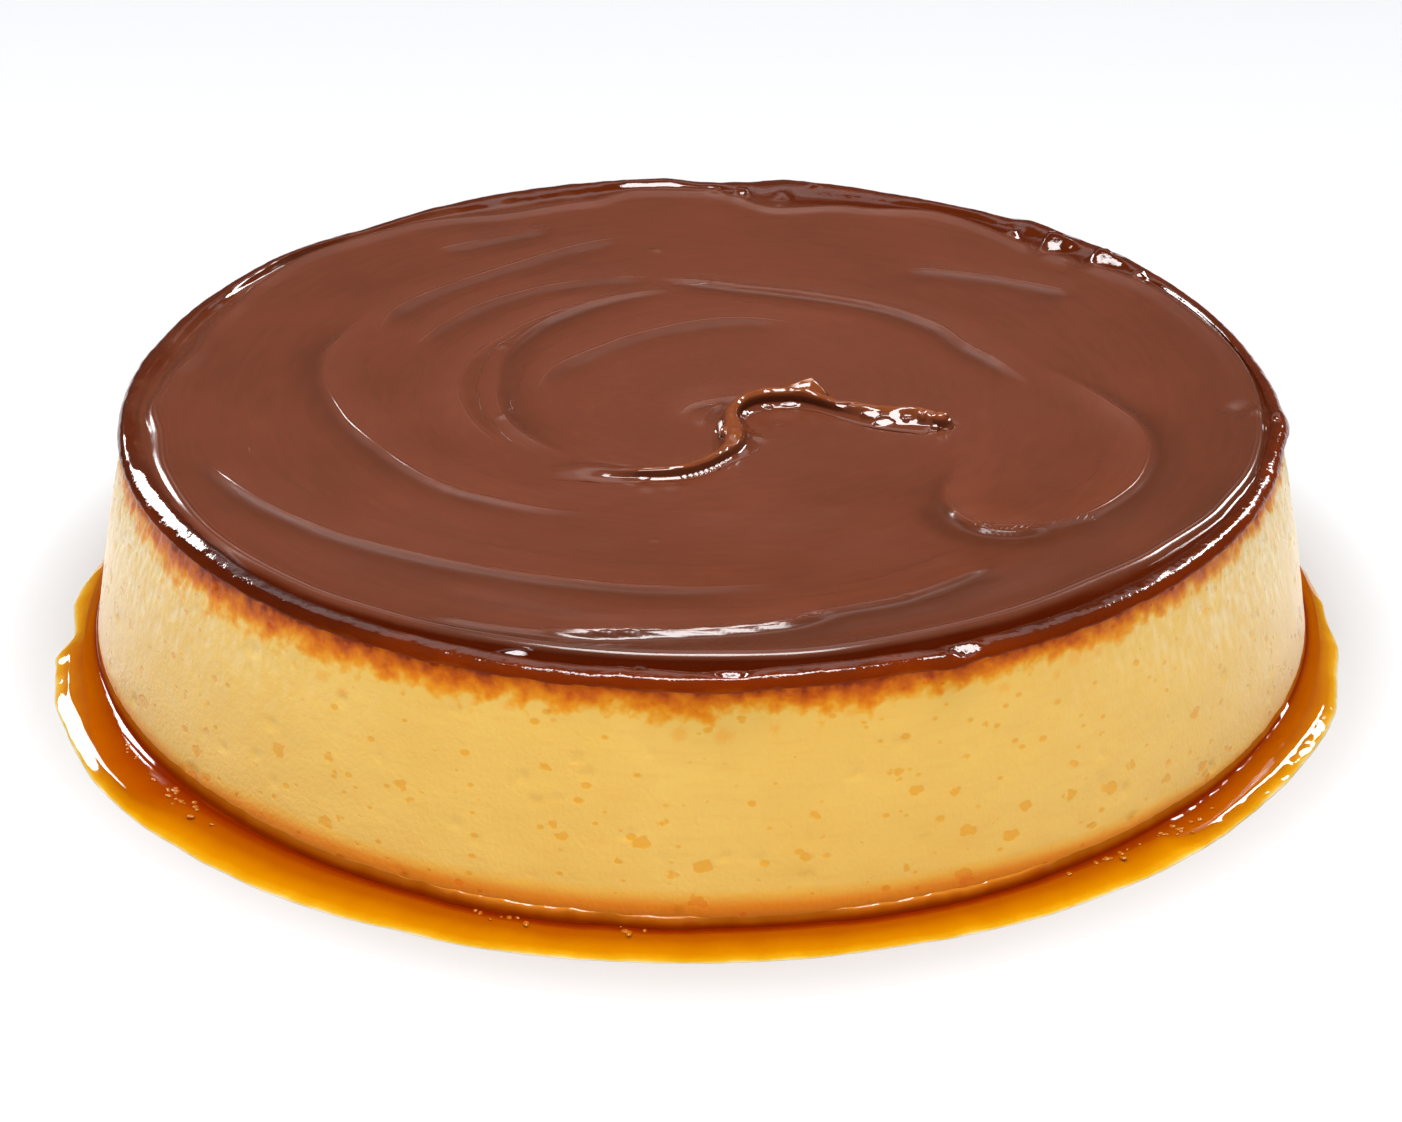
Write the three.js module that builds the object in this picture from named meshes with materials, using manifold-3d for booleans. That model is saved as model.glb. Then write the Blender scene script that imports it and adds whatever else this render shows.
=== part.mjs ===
// Leche flan: a round baked custard turned out of a sloped 230 mm pan. A caramel glaze is spread
// over its top in a spiral, lifted into a curl in the middle, and syrup has run off into a
// shallow pool round its foot. Millimetres, +Z up, origin under the middle, front towards -Y.

import * as THREE from "three";
import { mergeVertices } from "three/addons/utils/BufferGeometryUtils.js";
import Module from "manifold-3d";

const wasm = await Module();
wasm.setup();

// ---------- Driving dimensions ----------

const FOOT_RADIUS = 115; // the pan's 230 mm mouth, now at the bottom
const WALL_DRAFT = 10.96; // degrees that the wall leans in
const WALL_BELLY = 0.4; // how far the soft wall swells out at mid height
const WALL_WOBBLE = 0.15; // unevenness of the wall from angle to angle
const CUSTARD_HEIGHT = 40.8;
const FOOT_ROUND = 0.9;
const SHOULDER_ROUND = 1.6;

const GLAZE_GAP = 0.3; // clearance between touching pieces
const GLAZE_TOP = 44; // height of the flat field of the glaze
const RIM_START = 88; // radius where the flat field ends and the rim begins

const SYRUP_DEPTH = 2.3; // depth of the pool
const SYRUP_CLIMB = 4.4; // how high the syrup clings to the wall

const SIDES = 96; // facets round the flan
const SINK = 0.5; // how deep the root of an added fold reaches
const SETTLE = 0.15; // how far a fold sits down into the glaze, so that its ends fade out

const { degToRad, radToDeg, euclideanModulo, smoothstep, lerp } = THREE.MathUtils;

// ---------- Values that change round the flan ----------

// A function of the angle in degrees that runs smoothly through [degrees, value] stations.
function around(stations) {
  const count = stations.length;
  return (degrees) => {
    const angle = euclideanModulo(degrees - stations[0][0], 360) + stations[0][0];
    let next = stations.findIndex((station) => station[0] > angle);
    if (next < 0) next = count;
    const [from, start] = stations[next - 1];
    const to = next < count ? stations[next][0] : stations[0][0] + 360;
    const end = stations[next % count][1];
    return lerp(start, end, smoothstep(angle, from, to));
  };
}

// Angles run anticlockwise from +X, so the front is at 270.
const rimCrest = around([
  [16, 95.7], [47, 91.5], [60, 96.5], [84, 91], [110, 95.6], [135, 94.2], [155, 99.5],
  [185, 96.4], [206, 97.3], [240, 100.8], [269, 98.7], [310, 101], [337, 104],
]);
const lipLift = around([
  [8, -0.3], [22, 0.1], [36, 0.6], [44, -0.4], [51, 0.3], [66, 0], [80, 0.9], [88, -0.5],
  [95, 0.7], [112, 0.4], [130, -0.5], [143, 0.4], [156, -0.1], [168, -0.3], [180, 0.3],
  [205, -0.2], [240, 0.1], [256, -0.3], [272, 0.2], [300, -0.2], [330, 0.2], [352, 0.5],
]);
const lipSwell = around([
  [10, -0.4], [36, 0.3], [46, -0.4], [80, 0.4], [88, -0.6], [96, 0.3], [132, -0.5], [172, 0.2],
  [215, -0.2], [265, 0.3], [290, -0.1], [320, 0.2], [348, 0.1], [354, 1.2], [360, 0.1],
]);
const poolEdge = around([
  [10, 117.6], [40, 119.5], [75, 118.2], [110, 120.4], [150, 118.6], [172, 118.4], [181, 120.4],
  [187, 119.6], [197, 124], [218, 126], [242, 123.2], [262, 122.6], [282, 121.3], [304, 122.7],
  [317, 120.9], [340, 122.3], [354, 119.8],
]);

// The custard's wall at a height: a straight cone, slightly bellied and uneven.
function wallRadius(height, degrees) {
  const angle = degToRad(degrees);
  const cone = FOOT_RADIUS - height * Math.tan(degToRad(WALL_DRAFT));
  const belly = WALL_BELLY * Math.sin((Math.PI * height) / CUSTARD_HEIGHT);
  const wobble = Math.sin(3 * angle + 1) * 0.6 + Math.sin(7 * angle + 2.3) * 0.4;
  return cone + belly + WALL_WOBBLE * wobble;
}

// ---------- Geometry helpers ----------

// A closed solid turned about Z from a profile of [radius, height] points, drawn anticlockwise
// with the radius to the right. The place function then moves each point for its angle.
function turned(profile, place) {
  const points = profile.map(([radius, height]) => new THREE.Vector2(radius, height));
  const geometry = new THREE.LatheGeometry(points, SIDES).rotateX(Math.PI / 2);
  const position = geometry.attributes.position;
  for (let i = 0; i < position.count; i += 1) {
    const x = position.getX(i);
    const y = position.getY(i);
    const degrees = Math.round(radToDeg(Math.atan2(y, x)) * 100) / 100;
    const [radius, height] = place(Math.hypot(x, y), position.getZ(i), degrees);
    const angle = degToRad(degrees);
    position.setXYZ(i, radius * Math.cos(angle), radius * Math.sin(angle), height);
  }
  return geometry;
}

// Welds a geometry's corners and makes it a manifold solid.
function solid(geometry) {
  const bare = geometry.clone();
  bare.deleteAttribute("normal");
  bare.deleteAttribute("uv");
  const welded = mergeVertices(bare, 1e-4);
  const index = [];
  for (let i = 0; i < welded.index.count; i += 3) {
    const [a, b, c] = welded.index.array.slice(i, i + 3);
    if (a !== b && b !== c && c !== a) index.push(a, b, c);
  }
  return new wasm.Manifold(
    new wasm.Mesh({
      numProp: 3,
      vertProperties: new Float32Array(welded.attributes.position.array),
      triVerts: new Uint32Array(index),
    }),
  );
}

// A named mesh from a manifold solid.
function part(name, body, color, roughness) {
  const shape = body.getMesh();
  const geometry = new THREE.BufferGeometry();
  geometry.setAttribute("position", new THREE.BufferAttribute(shape.vertProperties, 3));
  geometry.setIndex(new THREE.BufferAttribute(shape.triVerts, 1));
  geometry.computeVertexNormals();
  const material = new THREE.MeshStandardMaterial({ color, roughness, metalness: 0 });
  const mesh = new THREE.Mesh(geometry, material);
  mesh.name = name;
  return mesh;
}

// A repeatable random number maker.
function seeded(seed) {
  let state = seed;
  return () => {
    state = (Math.imul(state, 1664525) + 1013904223) >>> 0;
    return state / 4294967296;
  };
}

// ---------- Custard ----------

const WALL_RINGS = [10, 20, 30]; // heights at which the wall is shaped
const PORE_COUNT = 52;
const PORE_SMALL = 0.6; // radius
const PORE_LARGE = 1.8;
const PORE_ROUND = 1.1; // pores larger than this get more facets
const PORE_LOWEST = 7; // height
const PORE_HIGHEST = 35;
const PORE_SEED = 11;

// The smooth body: flat foot, leaning wall, rounded shoulder and flat top under the glaze.
function custardBody() {
  const shoulder = CUSTARD_HEIGHT - SHOULDER_ROUND;
  const profile = [
    [0, 0],
    [FOOT_RADIUS - FOOT_ROUND, 0],
    [FOOT_RADIUS, FOOT_ROUND],
    ...WALL_RINGS.map((height) => [FOOT_RADIUS, height]),
    [FOOT_RADIUS, shoulder],
    [FOOT_RADIUS - SHOULDER_ROUND * 0.3, shoulder + SHOULDER_ROUND * 0.7],
    [FOOT_RADIUS - SHOULDER_ROUND, CUSTARD_HEIGHT],
    [0, CUSTARD_HEIGHT],
  ];
  return solid(
    turned(profile, (radius, height, degrees) => {
      if (radius < 1) return [radius, height];
      return [radius - FOOT_RADIUS + wallRadius(height, degrees), height];
    }),
  );
}

// Small open bubbles left on the wall, flat and wider than tall, more of them small and low down.
function pores() {
  const random = seeded(PORE_SEED);
  const bubbles = [];
  for (let i = 0; i < PORE_COUNT; i += 1) {
    const degrees = ((i + 0.8 * random()) * 360) / PORE_COUNT;
    const height = lerp(PORE_LOWEST, PORE_HIGHEST, random() ** 1.5);
    const size = lerp(PORE_SMALL, PORE_LARGE, random() ** 2.2);
    const bubble = new THREE.IcosahedronGeometry(size, size > PORE_ROUND ? 1 : 0);
    bubble.rotateY(random() * Math.PI).scale(0.7, 1.35, 0.8);
    bubble.translate(wallRadius(height, degrees), 0, height).rotateZ(degToRad(degrees));
    bubbles.push(solid(bubble));
  }
  return wasm.Manifold.union(bubbles);
}

// ---------- Caramel glaze ----------

const RIM_CREST = 98.2; // nominal radius of the raised ring inside the lip
const LIP_RADIUS = 107.2; // nominal radius of the lip's outer edge

// The spread glaze: a flat field, a raised ring, a dip and a rounded lip that laps the shoulder.
function glazeSheet() {
  const underside = CUSTARD_HEIGHT + GLAZE_GAP;
  const profile = [
    [0, underside],
    [LIP_RADIUS - 1.5, underside],
    [LIP_RADIUS - 0.5, underside],
    [LIP_RADIUS, underside + 0.7],
    [LIP_RADIUS - 0.3, underside + 1.4],
    [LIP_RADIUS - 1.3, underside + 2],
    [LIP_RADIUS - 2.7, underside + 2.35],
    [LIP_RADIUS - 3.9, underside + 2.1],
    [LIP_RADIUS - 5.2, underside + 2.15],
    [RIM_CREST + 1.4, GLAZE_TOP],
    [RIM_CREST, GLAZE_TOP + 0.45],
    [RIM_CREST - 2.4, GLAZE_TOP + 0.15],
    [RIM_START, GLAZE_TOP],
    [0, GLAZE_TOP],
  ];
  return solid(
    turned(profile, (radius, height, degrees) => {
      const outward = smoothstep(radius, RIM_CREST + 3, LIP_RADIUS - 1.4);
      const upward = smoothstep(height, underside + 0.5, underside + 2);
      const ring = smoothstep(radius, RIM_START, RIM_CREST) * (1 - outward);
      const crestShift = (rimCrest(degrees) - RIM_CREST) * ring;
      const swell = lipSwell(degrees) * outward * (0.3 + 0.7 * upward);
      return [radius + crestShift + swell, height + lipLift(degrees) * outward * upward];
    }),
  );
}

// A fold of glaze laid along a path: a section pulled along it, tapered to nothing at both ends.
// Each point of the section is [left, up], as shares of the width and the height, so the steep
// side is to the right of the direction of travel. Stations are [x, y, height, width].
function fold({ stations, steps }, section) {
  const path = new THREE.CatmullRomCurve3(stations.map(([x, y]) => new THREE.Vector3(x, y, 0)));
  const sizes = new THREE.CatmullRomCurve3(
    stations.map(([, , height, width]) => new THREE.Vector3(height, width, 0)),
    false,
    "catmullrom",
  );
  const outline = new THREE.Shape(section.map(([left, up]) => new THREE.Vector2(left, up)));
  const bar = new THREE.ExtrudeGeometry(outline, { steps, depth: 1, bevelEnabled: false });
  const position = bar.attributes.position;
  for (let i = 0; i < position.count; i += 1) {
    const along = position.getZ(i);
    const at = path.getPoint(along);
    const ahead = path.getTangent(along);
    const size = sizes.getPoint(along);
    const left = position.getX(i) * size.y;
    const up = position.getY(i);
    const height = GLAZE_TOP - SETTLE + up * (up > 0 ? size.x : SINK);
    position.setXYZ(i, at.x - left * ahead.y, at.y + left * ahead.x, height);
  }
  return solid(bar);
}

// The low soft edge that the back of a spoon leaves.
const SOFT_EDGE = [
  [-0.5, -1], [0.5, -1], [0.5, 0], [0.2, 0.6], [-0.05, 1], [-0.26, 0.75], [-0.5, 0],
];
// The curl's tall thin fold, leaning over its steep side.
const LEANING_FOLD = [
  [-0.42, -1], [0.5, -1], [0.5, 0.02], [0.34, 0.3], [0.18, 0.72], [-0.1, 1], [-0.4, 0.94],
  [-0.5, 0.66], [-0.3, 0.34], [-0.42, 0.02],
];

// The spoon's spiral: the inner turn with its hook, two arcs outside it and a ridge at the rim.
const SPIRAL = [
  { steps: 60, stations: [
    [-25, -30, 0.1, 2.5], [-33, -20, 0.5, 3], [-37, -5, 0.6, 4], [-38, 10, 0.7, 4.5],
    [-35.5, 24, 0.9, 4.5], [-27, 35.5, 0.7, 4.5], [-14, 44, 0.6, 4.5], [5, 47.8, 0.9, 5],
    [24, 43.2, 1.1, 5], [38, 35.5, 1, 5], [54, 21, 0.7, 5], [71, 2, 0.4, 4.5],
    [79.5, -16, 0.4, 4.5], [80, -32, 0.5, 4.5], [71, -47.5, 0.6, 4.5], [58, -55.2, 1, 4.5],
    [48, -56.5, 1.3, 3.8], [43, -51, 0.8, 3.2], [44.5, -41, 0.6, 3], [47.5, -28, 0.3, 3],
    [47, -20, 0.1, 2.5],
  ] },
  { steps: 28, stations: [
    [-1.5, -42.8, 0.1, 2], [-21.4, -50.4, 0.5, 3], [-42.8, -41.3, 0.6, 3],
    [-58, -24.6, 0.5, 3.5], [-69.3, 0, 0.6, 4], [-70, 21.4, 0.5, 4], [-62.8, 42.4, 0.1, 3],
  ] },
  { steps: 24, stations: [
    [-93, -19.8, 0.1, 3], [-81.6, -39.8, 0.4, 4], [-60, -60, 0.6, 4.5],
    [-35, -71.8, 0.7, 4.5], [-9.6, -77.8, 0.4, 4], [8, -76.6, 0.1, 3],
  ] },
  { steps: 20, stations: [
    [-52.7, -84.4, 0.1, 2.5], [-24.7, -92.3, 0.7, 3.2], [1.6, -90.4, 1, 3.2],
    [22.8, -85.2, 0.7, 3], [35.2, -79.1, 0.3, 2.4],
  ] },
];

// The curl that the lifted spoon pulled up, from its left tip over the peak to its right end.
const CURL = { steps: 64, stations: [
  [-25, -40.2, 0.1, 2.2], [-20, -39.3, 1.3, 3.2], [-12.5, -38, 2.5, 3.8], [-6, -36.2, 2.8, 4],
  [0.5, -31.6, 2.8, 4], [4.5, -25, 2.7, 3.8], [5.2, -18, 2.5, 3.6], [5.8, -10.6, 2.6, 3.6],
  [9.4, -5.8, 2.9, 3.8], [15, -3.8, 3.4, 3.8], [20, -3.6, 4.4, 3.2], [24, -7.8, 2.9, 3.6],
  [30.5, -11, 2.4, 4.4], [37.5, -13.2, 2.5, 5], [43.2, -15.2, 2.2, 4.6], [47, -17.8, 0.1, 3],
] };

// The rounded drop of glaze that hangs on the lip at the right.
const DROP = { angle: -6, radius: 2, below: 1.3 };

function lipDrop() {
  const drop = new THREE.IcosahedronGeometry(DROP.radius, 1).scale(0.8, 1.3, 0.75);
  drop.translate(LIP_RADIUS - 0.6, 0, GLAZE_TOP - DROP.below).rotateZ(degToRad(DROP.angle));
  return solid(drop);
}

// The shallow hollow that the curl was pulled out of, in front of its steep side.
const HOLLOW = { x: 15, y: -13.5, length: 11, width: 8, depth: 1, turn: -15 };

function curlHollow() {
  const bowl = new THREE.SphereGeometry(1, 20, 10);
  bowl.scale(HOLLOW.length, HOLLOW.width, HOLLOW.depth * 1.4).rotateZ(degToRad(HOLLOW.turn));
  return solid(bowl.translate(HOLLOW.x, HOLLOW.y, GLAZE_TOP + HOLLOW.depth * 0.4));
}

function glazeBody() {
  const folds = SPIRAL.map((arc) => fold(arc, SOFT_EDGE));
  const curl = fold(CURL, LEANING_FOLD);
  return wasm.Manifold.union([glazeSheet().subtract(curlHollow()), ...folds, curl, lipDrop()]);
}

// ---------- Syrup ----------

// The pool: an open ring round the foot that climbs the wall a little and ends in a round edge.
function syrupBody() {
  const inner = FOOT_RADIUS + GLAZE_GAP;
  const outer = inner + 8;
  const profile = [
    [inner, 0],
    [outer - 0.3, 0],
    [outer, 0.8],
    [outer - 0.7, 1.7],
    [outer - 1.9, SYRUP_DEPTH],
    [inner + 2.8, SYRUP_DEPTH],
    [inner + 1.2, SYRUP_DEPTH + 0.6],
    [inner + 0.5, SYRUP_CLIMB - 0.6],
    [inner, SYRUP_CLIMB],
    [inner, 0],
  ];
  return solid(
    turned(profile, (radius, height, degrees) => {
      const wall = wallRadius(height, degrees) + GLAZE_GAP;
      const share = smoothstep(radius, inner + 1, outer - 2);
      const stretch = poolEdge(degrees) - outer;
      const near = wall + radius - inner;
      return [lerp(near, radius + stretch, share), height];
    }),
  );
}

// ---------- The part ----------

const group = new THREE.Group();
group.add(
  part("custard", custardBody().subtract(pores()), 0xe9c26a, 0.45),
  part("caramel_glaze", glazeBody(), 0x7c4329, 0.3),
  part("syrup", syrupBody(), 0xc96a0a, 0.12),
);

export default group;
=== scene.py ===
import math

import bpy
import numpy as np
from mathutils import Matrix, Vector, noise


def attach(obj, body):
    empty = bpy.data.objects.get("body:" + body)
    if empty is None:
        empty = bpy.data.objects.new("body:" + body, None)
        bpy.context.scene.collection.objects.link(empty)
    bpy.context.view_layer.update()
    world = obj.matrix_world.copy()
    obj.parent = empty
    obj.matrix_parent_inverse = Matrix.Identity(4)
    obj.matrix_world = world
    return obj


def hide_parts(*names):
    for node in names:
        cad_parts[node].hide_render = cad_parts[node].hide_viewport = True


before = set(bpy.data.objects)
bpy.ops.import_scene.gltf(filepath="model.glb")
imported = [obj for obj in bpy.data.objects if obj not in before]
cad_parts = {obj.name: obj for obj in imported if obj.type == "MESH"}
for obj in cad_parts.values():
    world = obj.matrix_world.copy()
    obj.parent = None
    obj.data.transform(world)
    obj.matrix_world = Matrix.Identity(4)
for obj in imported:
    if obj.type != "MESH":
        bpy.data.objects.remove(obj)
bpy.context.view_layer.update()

# ---------------------------------------------------------------- table and camera
# The flan stands on a bare white laminate table, matt and even. It is seen from the front at a
# seated person's eye height, through a long lens that keeps the round top flat.
MM = 0.001
CAMERA_AIM = Vector((0.0, 0.0, 7.83)) * MM
CAMERA_DISTANCE = 633.78 * MM
CAMERA_ELEVATION = math.radians(28.107)
TABLE_SIZE = 6.0
SHADED_RING = (0.121, 0.14)


def srgb(code):
    """The linear colour of an sRGB hex value such as 'e9c26a'."""
    parts = [int(code[i : i + 2], 16) / 255 for i in (0, 2, 4)]
    return tuple(c / 12.92 if c <= 0.04045 else ((c + 0.055) / 1.055) ** 2.4 for c in parts) + (1,)


def set_inputs(node, inputs):
    """Gives each of a node's inputs, by name or number, its own value or a link to a source."""
    for name, value in inputs.items():
        sockets = [s for i, s in enumerate(node.inputs) if s.enabled and name in (i, s.name)]
        if isinstance(value, bpy.types.Node):
            value = next(s for s in value.outputs if s.enabled)
        if isinstance(value, bpy.types.NodeSocket):
            node.id_data.links.new(value, sockets[0])
        else:
            sockets[0].default_value = value


def add_node(tree, kind, inputs=None, **settings):
    """Adds a node with its settings, and sets its inputs."""
    node = tree.nodes.new(kind)
    for name, value in settings.items():
        setattr(node, name, value)
    set_inputs(node, inputs or {})
    return node


def calculate(tree, operation, *values):
    return add_node(tree, "ShaderNodeMath", dict(enumerate(values)), operation=operation)


def remap(tree, value, given, wanted=(0.0, 1.0), eased=False):
    """Carries a value from one range over to another, and holds it at the ends."""
    ends = ("From Min", "From Max", "To Min", "To Max")
    inputs = {"Value": value, **dict(zip(ends, given + wanted))}
    kind = "SMOOTHSTEP" if eased else "LINEAR"
    return add_node(tree, "ShaderNodeMapRange", inputs, interpolation_type=kind)


def mixed(tree, share, under, over, blend="MIX"):
    """Lays one colour over another by a share."""
    inputs = {"Factor": share, "A": under, "B": over}
    return add_node(tree, "ShaderNodeMix", inputs, data_type="RGBA", blend_type=blend)


def clouds(tree, place, scale, detail):
    return add_node(tree, "ShaderNodeTexNoise", {"Vector": place, "Scale": scale, "Detail": detail})


def object_place(tree):
    return add_node(tree, "ShaderNodeTexCoord").outputs["Object"]


def painted(tree, name, socket="Fac"):
    """What paint() has kept on the piece under a name."""
    return add_node(tree, "ShaderNodeAttribute", attribute_name=name).outputs[socket]


def ramp(tree, value, stops):
    """The colour of a value, from (position, hex) stops in rising order."""
    node = add_node(tree, "ShaderNodeValToRGB", {"Fac": value})
    elements = node.color_ramp.elements
    elements[0].position = stops[0][0]
    elements[1].position = stops[-1][0]
    for position, _ in stops[1:-1]:
        elements.new(position)
    for element, (_, code) in zip(elements, stops):
        element.color = srgb(code)
    return node


def new_material(name):
    """An empty node material, its tree and its surface shader."""
    material = bpy.data.materials.new(name)
    material.use_nodes = True
    tree = material.node_tree
    return material, tree, tree.nodes["Principled BSDF"]


bpy.ops.object.select_all(action="DESELECT")
bpy.ops.mesh.primitive_plane_add(size=TABLE_SIZE)
table = bpy.context.object
table.name = "table"
laminate, tree, shader = new_material("matt_white_laminate")
# Laminate is a dull white sheet with no grain. It is a shade greyer in a ring close round the
# pool, where the flan keeps the light off it.
place = object_place(tree)
flat_place = add_node(tree, "ShaderNodeMapping", {"Vector": place, "Scale": (1.0, 1.0, 0.0)})
distance = add_node(tree, "ShaderNodeVectorMath", {0: flat_place}, operation="LENGTH").outputs["Value"]
outside = remap(tree, distance, SHADED_RING, eased=True)
white = mixed(tree, outside, srgb("b6b5b6"), srgb("cacbce"))
set_inputs(shader, {"Base Color": white, "Roughness": 0.65})
table.data.materials.append(laminate)

camera_data = bpy.data.cameras.new("camera")
camera_data.lens = 85
camera_data.sensor_width = 36
camera = bpy.data.objects.new("camera", camera_data)
bpy.context.collection.objects.link(camera)
away = Vector((0, -math.cos(CAMERA_ELEVATION), math.sin(CAMERA_ELEVATION)))
camera.location = CAMERA_AIM + away * CAMERA_DISTANCE
camera.rotation_euler = away.to_track_quat("Z", "Y").to_euler()
bpy.context.scene.camera = camera


# ---------------------------------------------------------------- light
# A small white studio. A big diffuser overhead and a wide fill in front light the flan evenly. The
# wet edges mirror a strip overhead and two boxes behind the flan to its left and right, and the
# smooth top mirrors a backdrop that brightens upwards.
def soft_box(name, place, aim, width, height, radiance):
    """A rectangle of light in metres, as bright to look at as radiance says."""
    data = bpy.data.lights.new(name, "AREA")
    data.shape = "RECTANGLE"
    data.size = width
    data.size_y = height
    data.energy = radiance * width * height * math.pi
    box = bpy.data.objects.new(name, data)
    bpy.context.collection.objects.link(box)
    box.location = place
    box.rotation_euler = (Vector(place) - Vector(aim)).to_track_quat("Z", "Y").to_euler()
    return box


soft_box("overhead_box", (0, 0.0, 1.15), (0, 0, 0), 0.6, 0.3, 22.0)
left_box = soft_box("left_box", (-0.7, 0.74, 0.56), (0, 0, 0.02), 0.26, 0.4, 25.0)
right_box = soft_box("right_box", (0.66, 0.66, 0.68), (0, 0, 0.02), 0.24, 0.4, 25.0)
backdrop_low = soft_box("backdrop_low", (0, 1.7, 0.6), (0, 0, 0.05), 2.4, 0.8, 0.03)
backdrop_middle = soft_box("backdrop_middle", (-0.45, 1.7, 1.44), (0, 0, 0.05), 1.7, 0.5, 0.36)
backdrop_high = soft_box("backdrop_high", (0, 1.6, 1.98), (0, 0, 0.05), 2.4, 0.7, 1.1)
for mirrored in (left_box, right_box, backdrop_low, backdrop_middle, backdrop_high):
    mirrored.visible_diffuse = False
diffuser = soft_box("diffuser", (0, 0.1, 1.6), (0, 0, 0.02), 3.0, 2.6, 1.5)
front_fill = soft_box("front_fill", (0, -1.3, 0.8), (0, 0, 0.02), 2.2, 0.6, 2.4)
diffuser.visible_glossy = False
front_fill.visible_glossy = False

world = bpy.data.worlds.new("studio")
world.use_nodes = True
set_inputs(world.node_tree.nodes["Background"], {"Color": srgb("f4f4f6"), "Strength": 0.04})
bpy.context.scene.world = world
bpy.context.scene.view_settings.view_transform = "Standard"

# ---------------------------------------------------------------- custard
# The flan's body: eggs, milk and sugar baked to a moist even gel in a sloped pan, then turned
# over. Its wall keeps the pan's small open bubbles and fine wrinkles, and caramel has run down
# and stained it amber below the top edge.
FOOT_RADIUS = 115.0
WALL_DRAFT = math.radians(10.96)
WALL_BELLY = 0.4
WALL_WOBBLE = 0.15
CUSTARD_HEIGHT = 42.5
SHOULDER_ROUND = 0.8
FOOT_ROUND = 0.9
WALL_STEPS = 1280
WALL_ROWS = 64


def wall_radius(height, angle):
    """The wall's radius at heights and angles round the custard."""
    cone = FOOT_RADIUS - height * math.tan(WALL_DRAFT)
    belly = WALL_BELLY * np.sin(math.pi * height / CUSTARD_HEIGHT)
    wobble = np.sin(3 * angle + 1) * 0.6 + np.sin(7 * angle + 2.3) * 0.4
    return cone + belly + WALL_WOBBLE * wobble


def smooth_step(value, low, high):
    """0 below low and 1 above high, with an eased climb between."""
    share = np.clip((value - low) / (high - low), 0, 1)
    return share * share * (3 - 2 * share)


def around(stations, angle):
    """Values that run smoothly round the flan through (degrees, value) stations."""
    degrees, values = np.asarray(stations, float).T
    turn = np.mod(np.degrees(angle) - degrees[0], 360) + degrees[0]
    degrees = np.append(degrees, degrees[0] + 360)
    values = np.append(values, values[0])
    start = np.clip(np.searchsorted(degrees, turn, "right") - 1, 0, len(values) - 2)
    share = smooth_step(turn, degrees[start], degrees[start + 1])
    return values[start] + (values[start + 1] - values[start]) * share


def rough(x, y, z, octaves=2):
    """Smooth noise, mostly from -1 to 1, whose bumps are about 1 wide in the numbers given."""
    spots = np.column_stack(np.broadcast_arrays(x, y, z))
    return np.array([noise.fractal(Vector(spot), 0.7, 2.1, octaves) for spot in spots])


def rough_round(angle, spread, layer):
    """Smooth noise that closes on itself round the flan. A larger spread has narrower bumps."""
    return rough(np.cos(angle) * spread, np.sin(angle) * spread, layer)


def clean_up(merge_distance):
    """Merges the active piece's corners that lie together and turns its faces outward."""
    bpy.ops.object.mode_set(mode="EDIT")
    bpy.ops.mesh.select_mode(type="VERT")
    bpy.ops.mesh.select_all(action="SELECT")
    if merge_distance:
        bpy.ops.mesh.remove_doubles(threshold=merge_distance)
    bpy.ops.mesh.normals_make_consistent(inside=False)
    bpy.ops.object.mode_set(mode="OBJECT")


def joined(pieces):
    """Joins pieces into the last of them."""
    bpy.ops.object.select_all(action="DESELECT")
    for piece in pieces:
        piece.select_set(True)
    bpy.context.view_layer.objects.active = pieces[-1]
    bpy.ops.object.join()
    return pieces[-1]


def spun(name, section, steps):
    """A skin lathed round Z from a section of (radius, height) points in millimetres."""
    section = [Vector((radius, 0, height)) * MM for radius, height in section]
    bpy.ops.object.select_all(action="DESELECT")
    bpy.ops.mesh.primitive_plane_add(size=MM)
    piece = bpy.context.object
    piece.name = piece.data.name = name
    bpy.ops.object.mode_set(mode="EDIT")
    bpy.ops.mesh.select_mode(type="VERT")
    bpy.ops.mesh.merge(type="CENTER")
    bpy.ops.transform.translate(value=section[0])
    for here, there in zip(section, section[1:]):
        bpy.ops.mesh.extrude_region_move(TRANSFORM_OT_translate={"value": there - here})
    bpy.ops.object.mode_set(mode="OBJECT")
    lathe = piece.modifiers.new("lathe", "SCREW")
    lathe.steps = lathe.render_steps = steps
    lathe.use_merge_vertices = True
    lathe.merge_threshold = 0.002 * MM
    bpy.ops.object.modifier_apply(modifier=lathe.name)
    clean_up(0.002 * MM)
    bpy.ops.object.shade_smooth()
    return piece


def points_of(piece):
    """A piece's corners, in millimetres."""
    flat = np.empty(len(piece.data.vertices) * 3)
    piece.data.vertices.foreach_get("co", flat)
    return flat.reshape(-1, 3) / MM


def polar(points):
    """The angle, radius and height of each point."""
    return np.arctan2(points[:, 1], points[:, 0]), np.hypot(points[:, 0], points[:, 1]), points[:, 2]


def from_polar(angle, radius, height):
    return np.column_stack([radius * np.cos(angle), radius * np.sin(angle), height])


def move_points(piece, points):
    piece.data.vertices.foreach_set("co", (points * MM).ravel())
    piece.data.update()


def paint(piece, name, values):
    """Keeps a number or a vector for each corner, for the piece's material to read."""
    values = np.asarray(values, np.float32)
    kind, field = ("FLOAT", "value") if values.ndim == 1 else ("FLOAT_VECTOR", "vector")
    piece.data.attributes.new(name, kind, "POINT").data.foreach_set(field, values.ravel())


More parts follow.
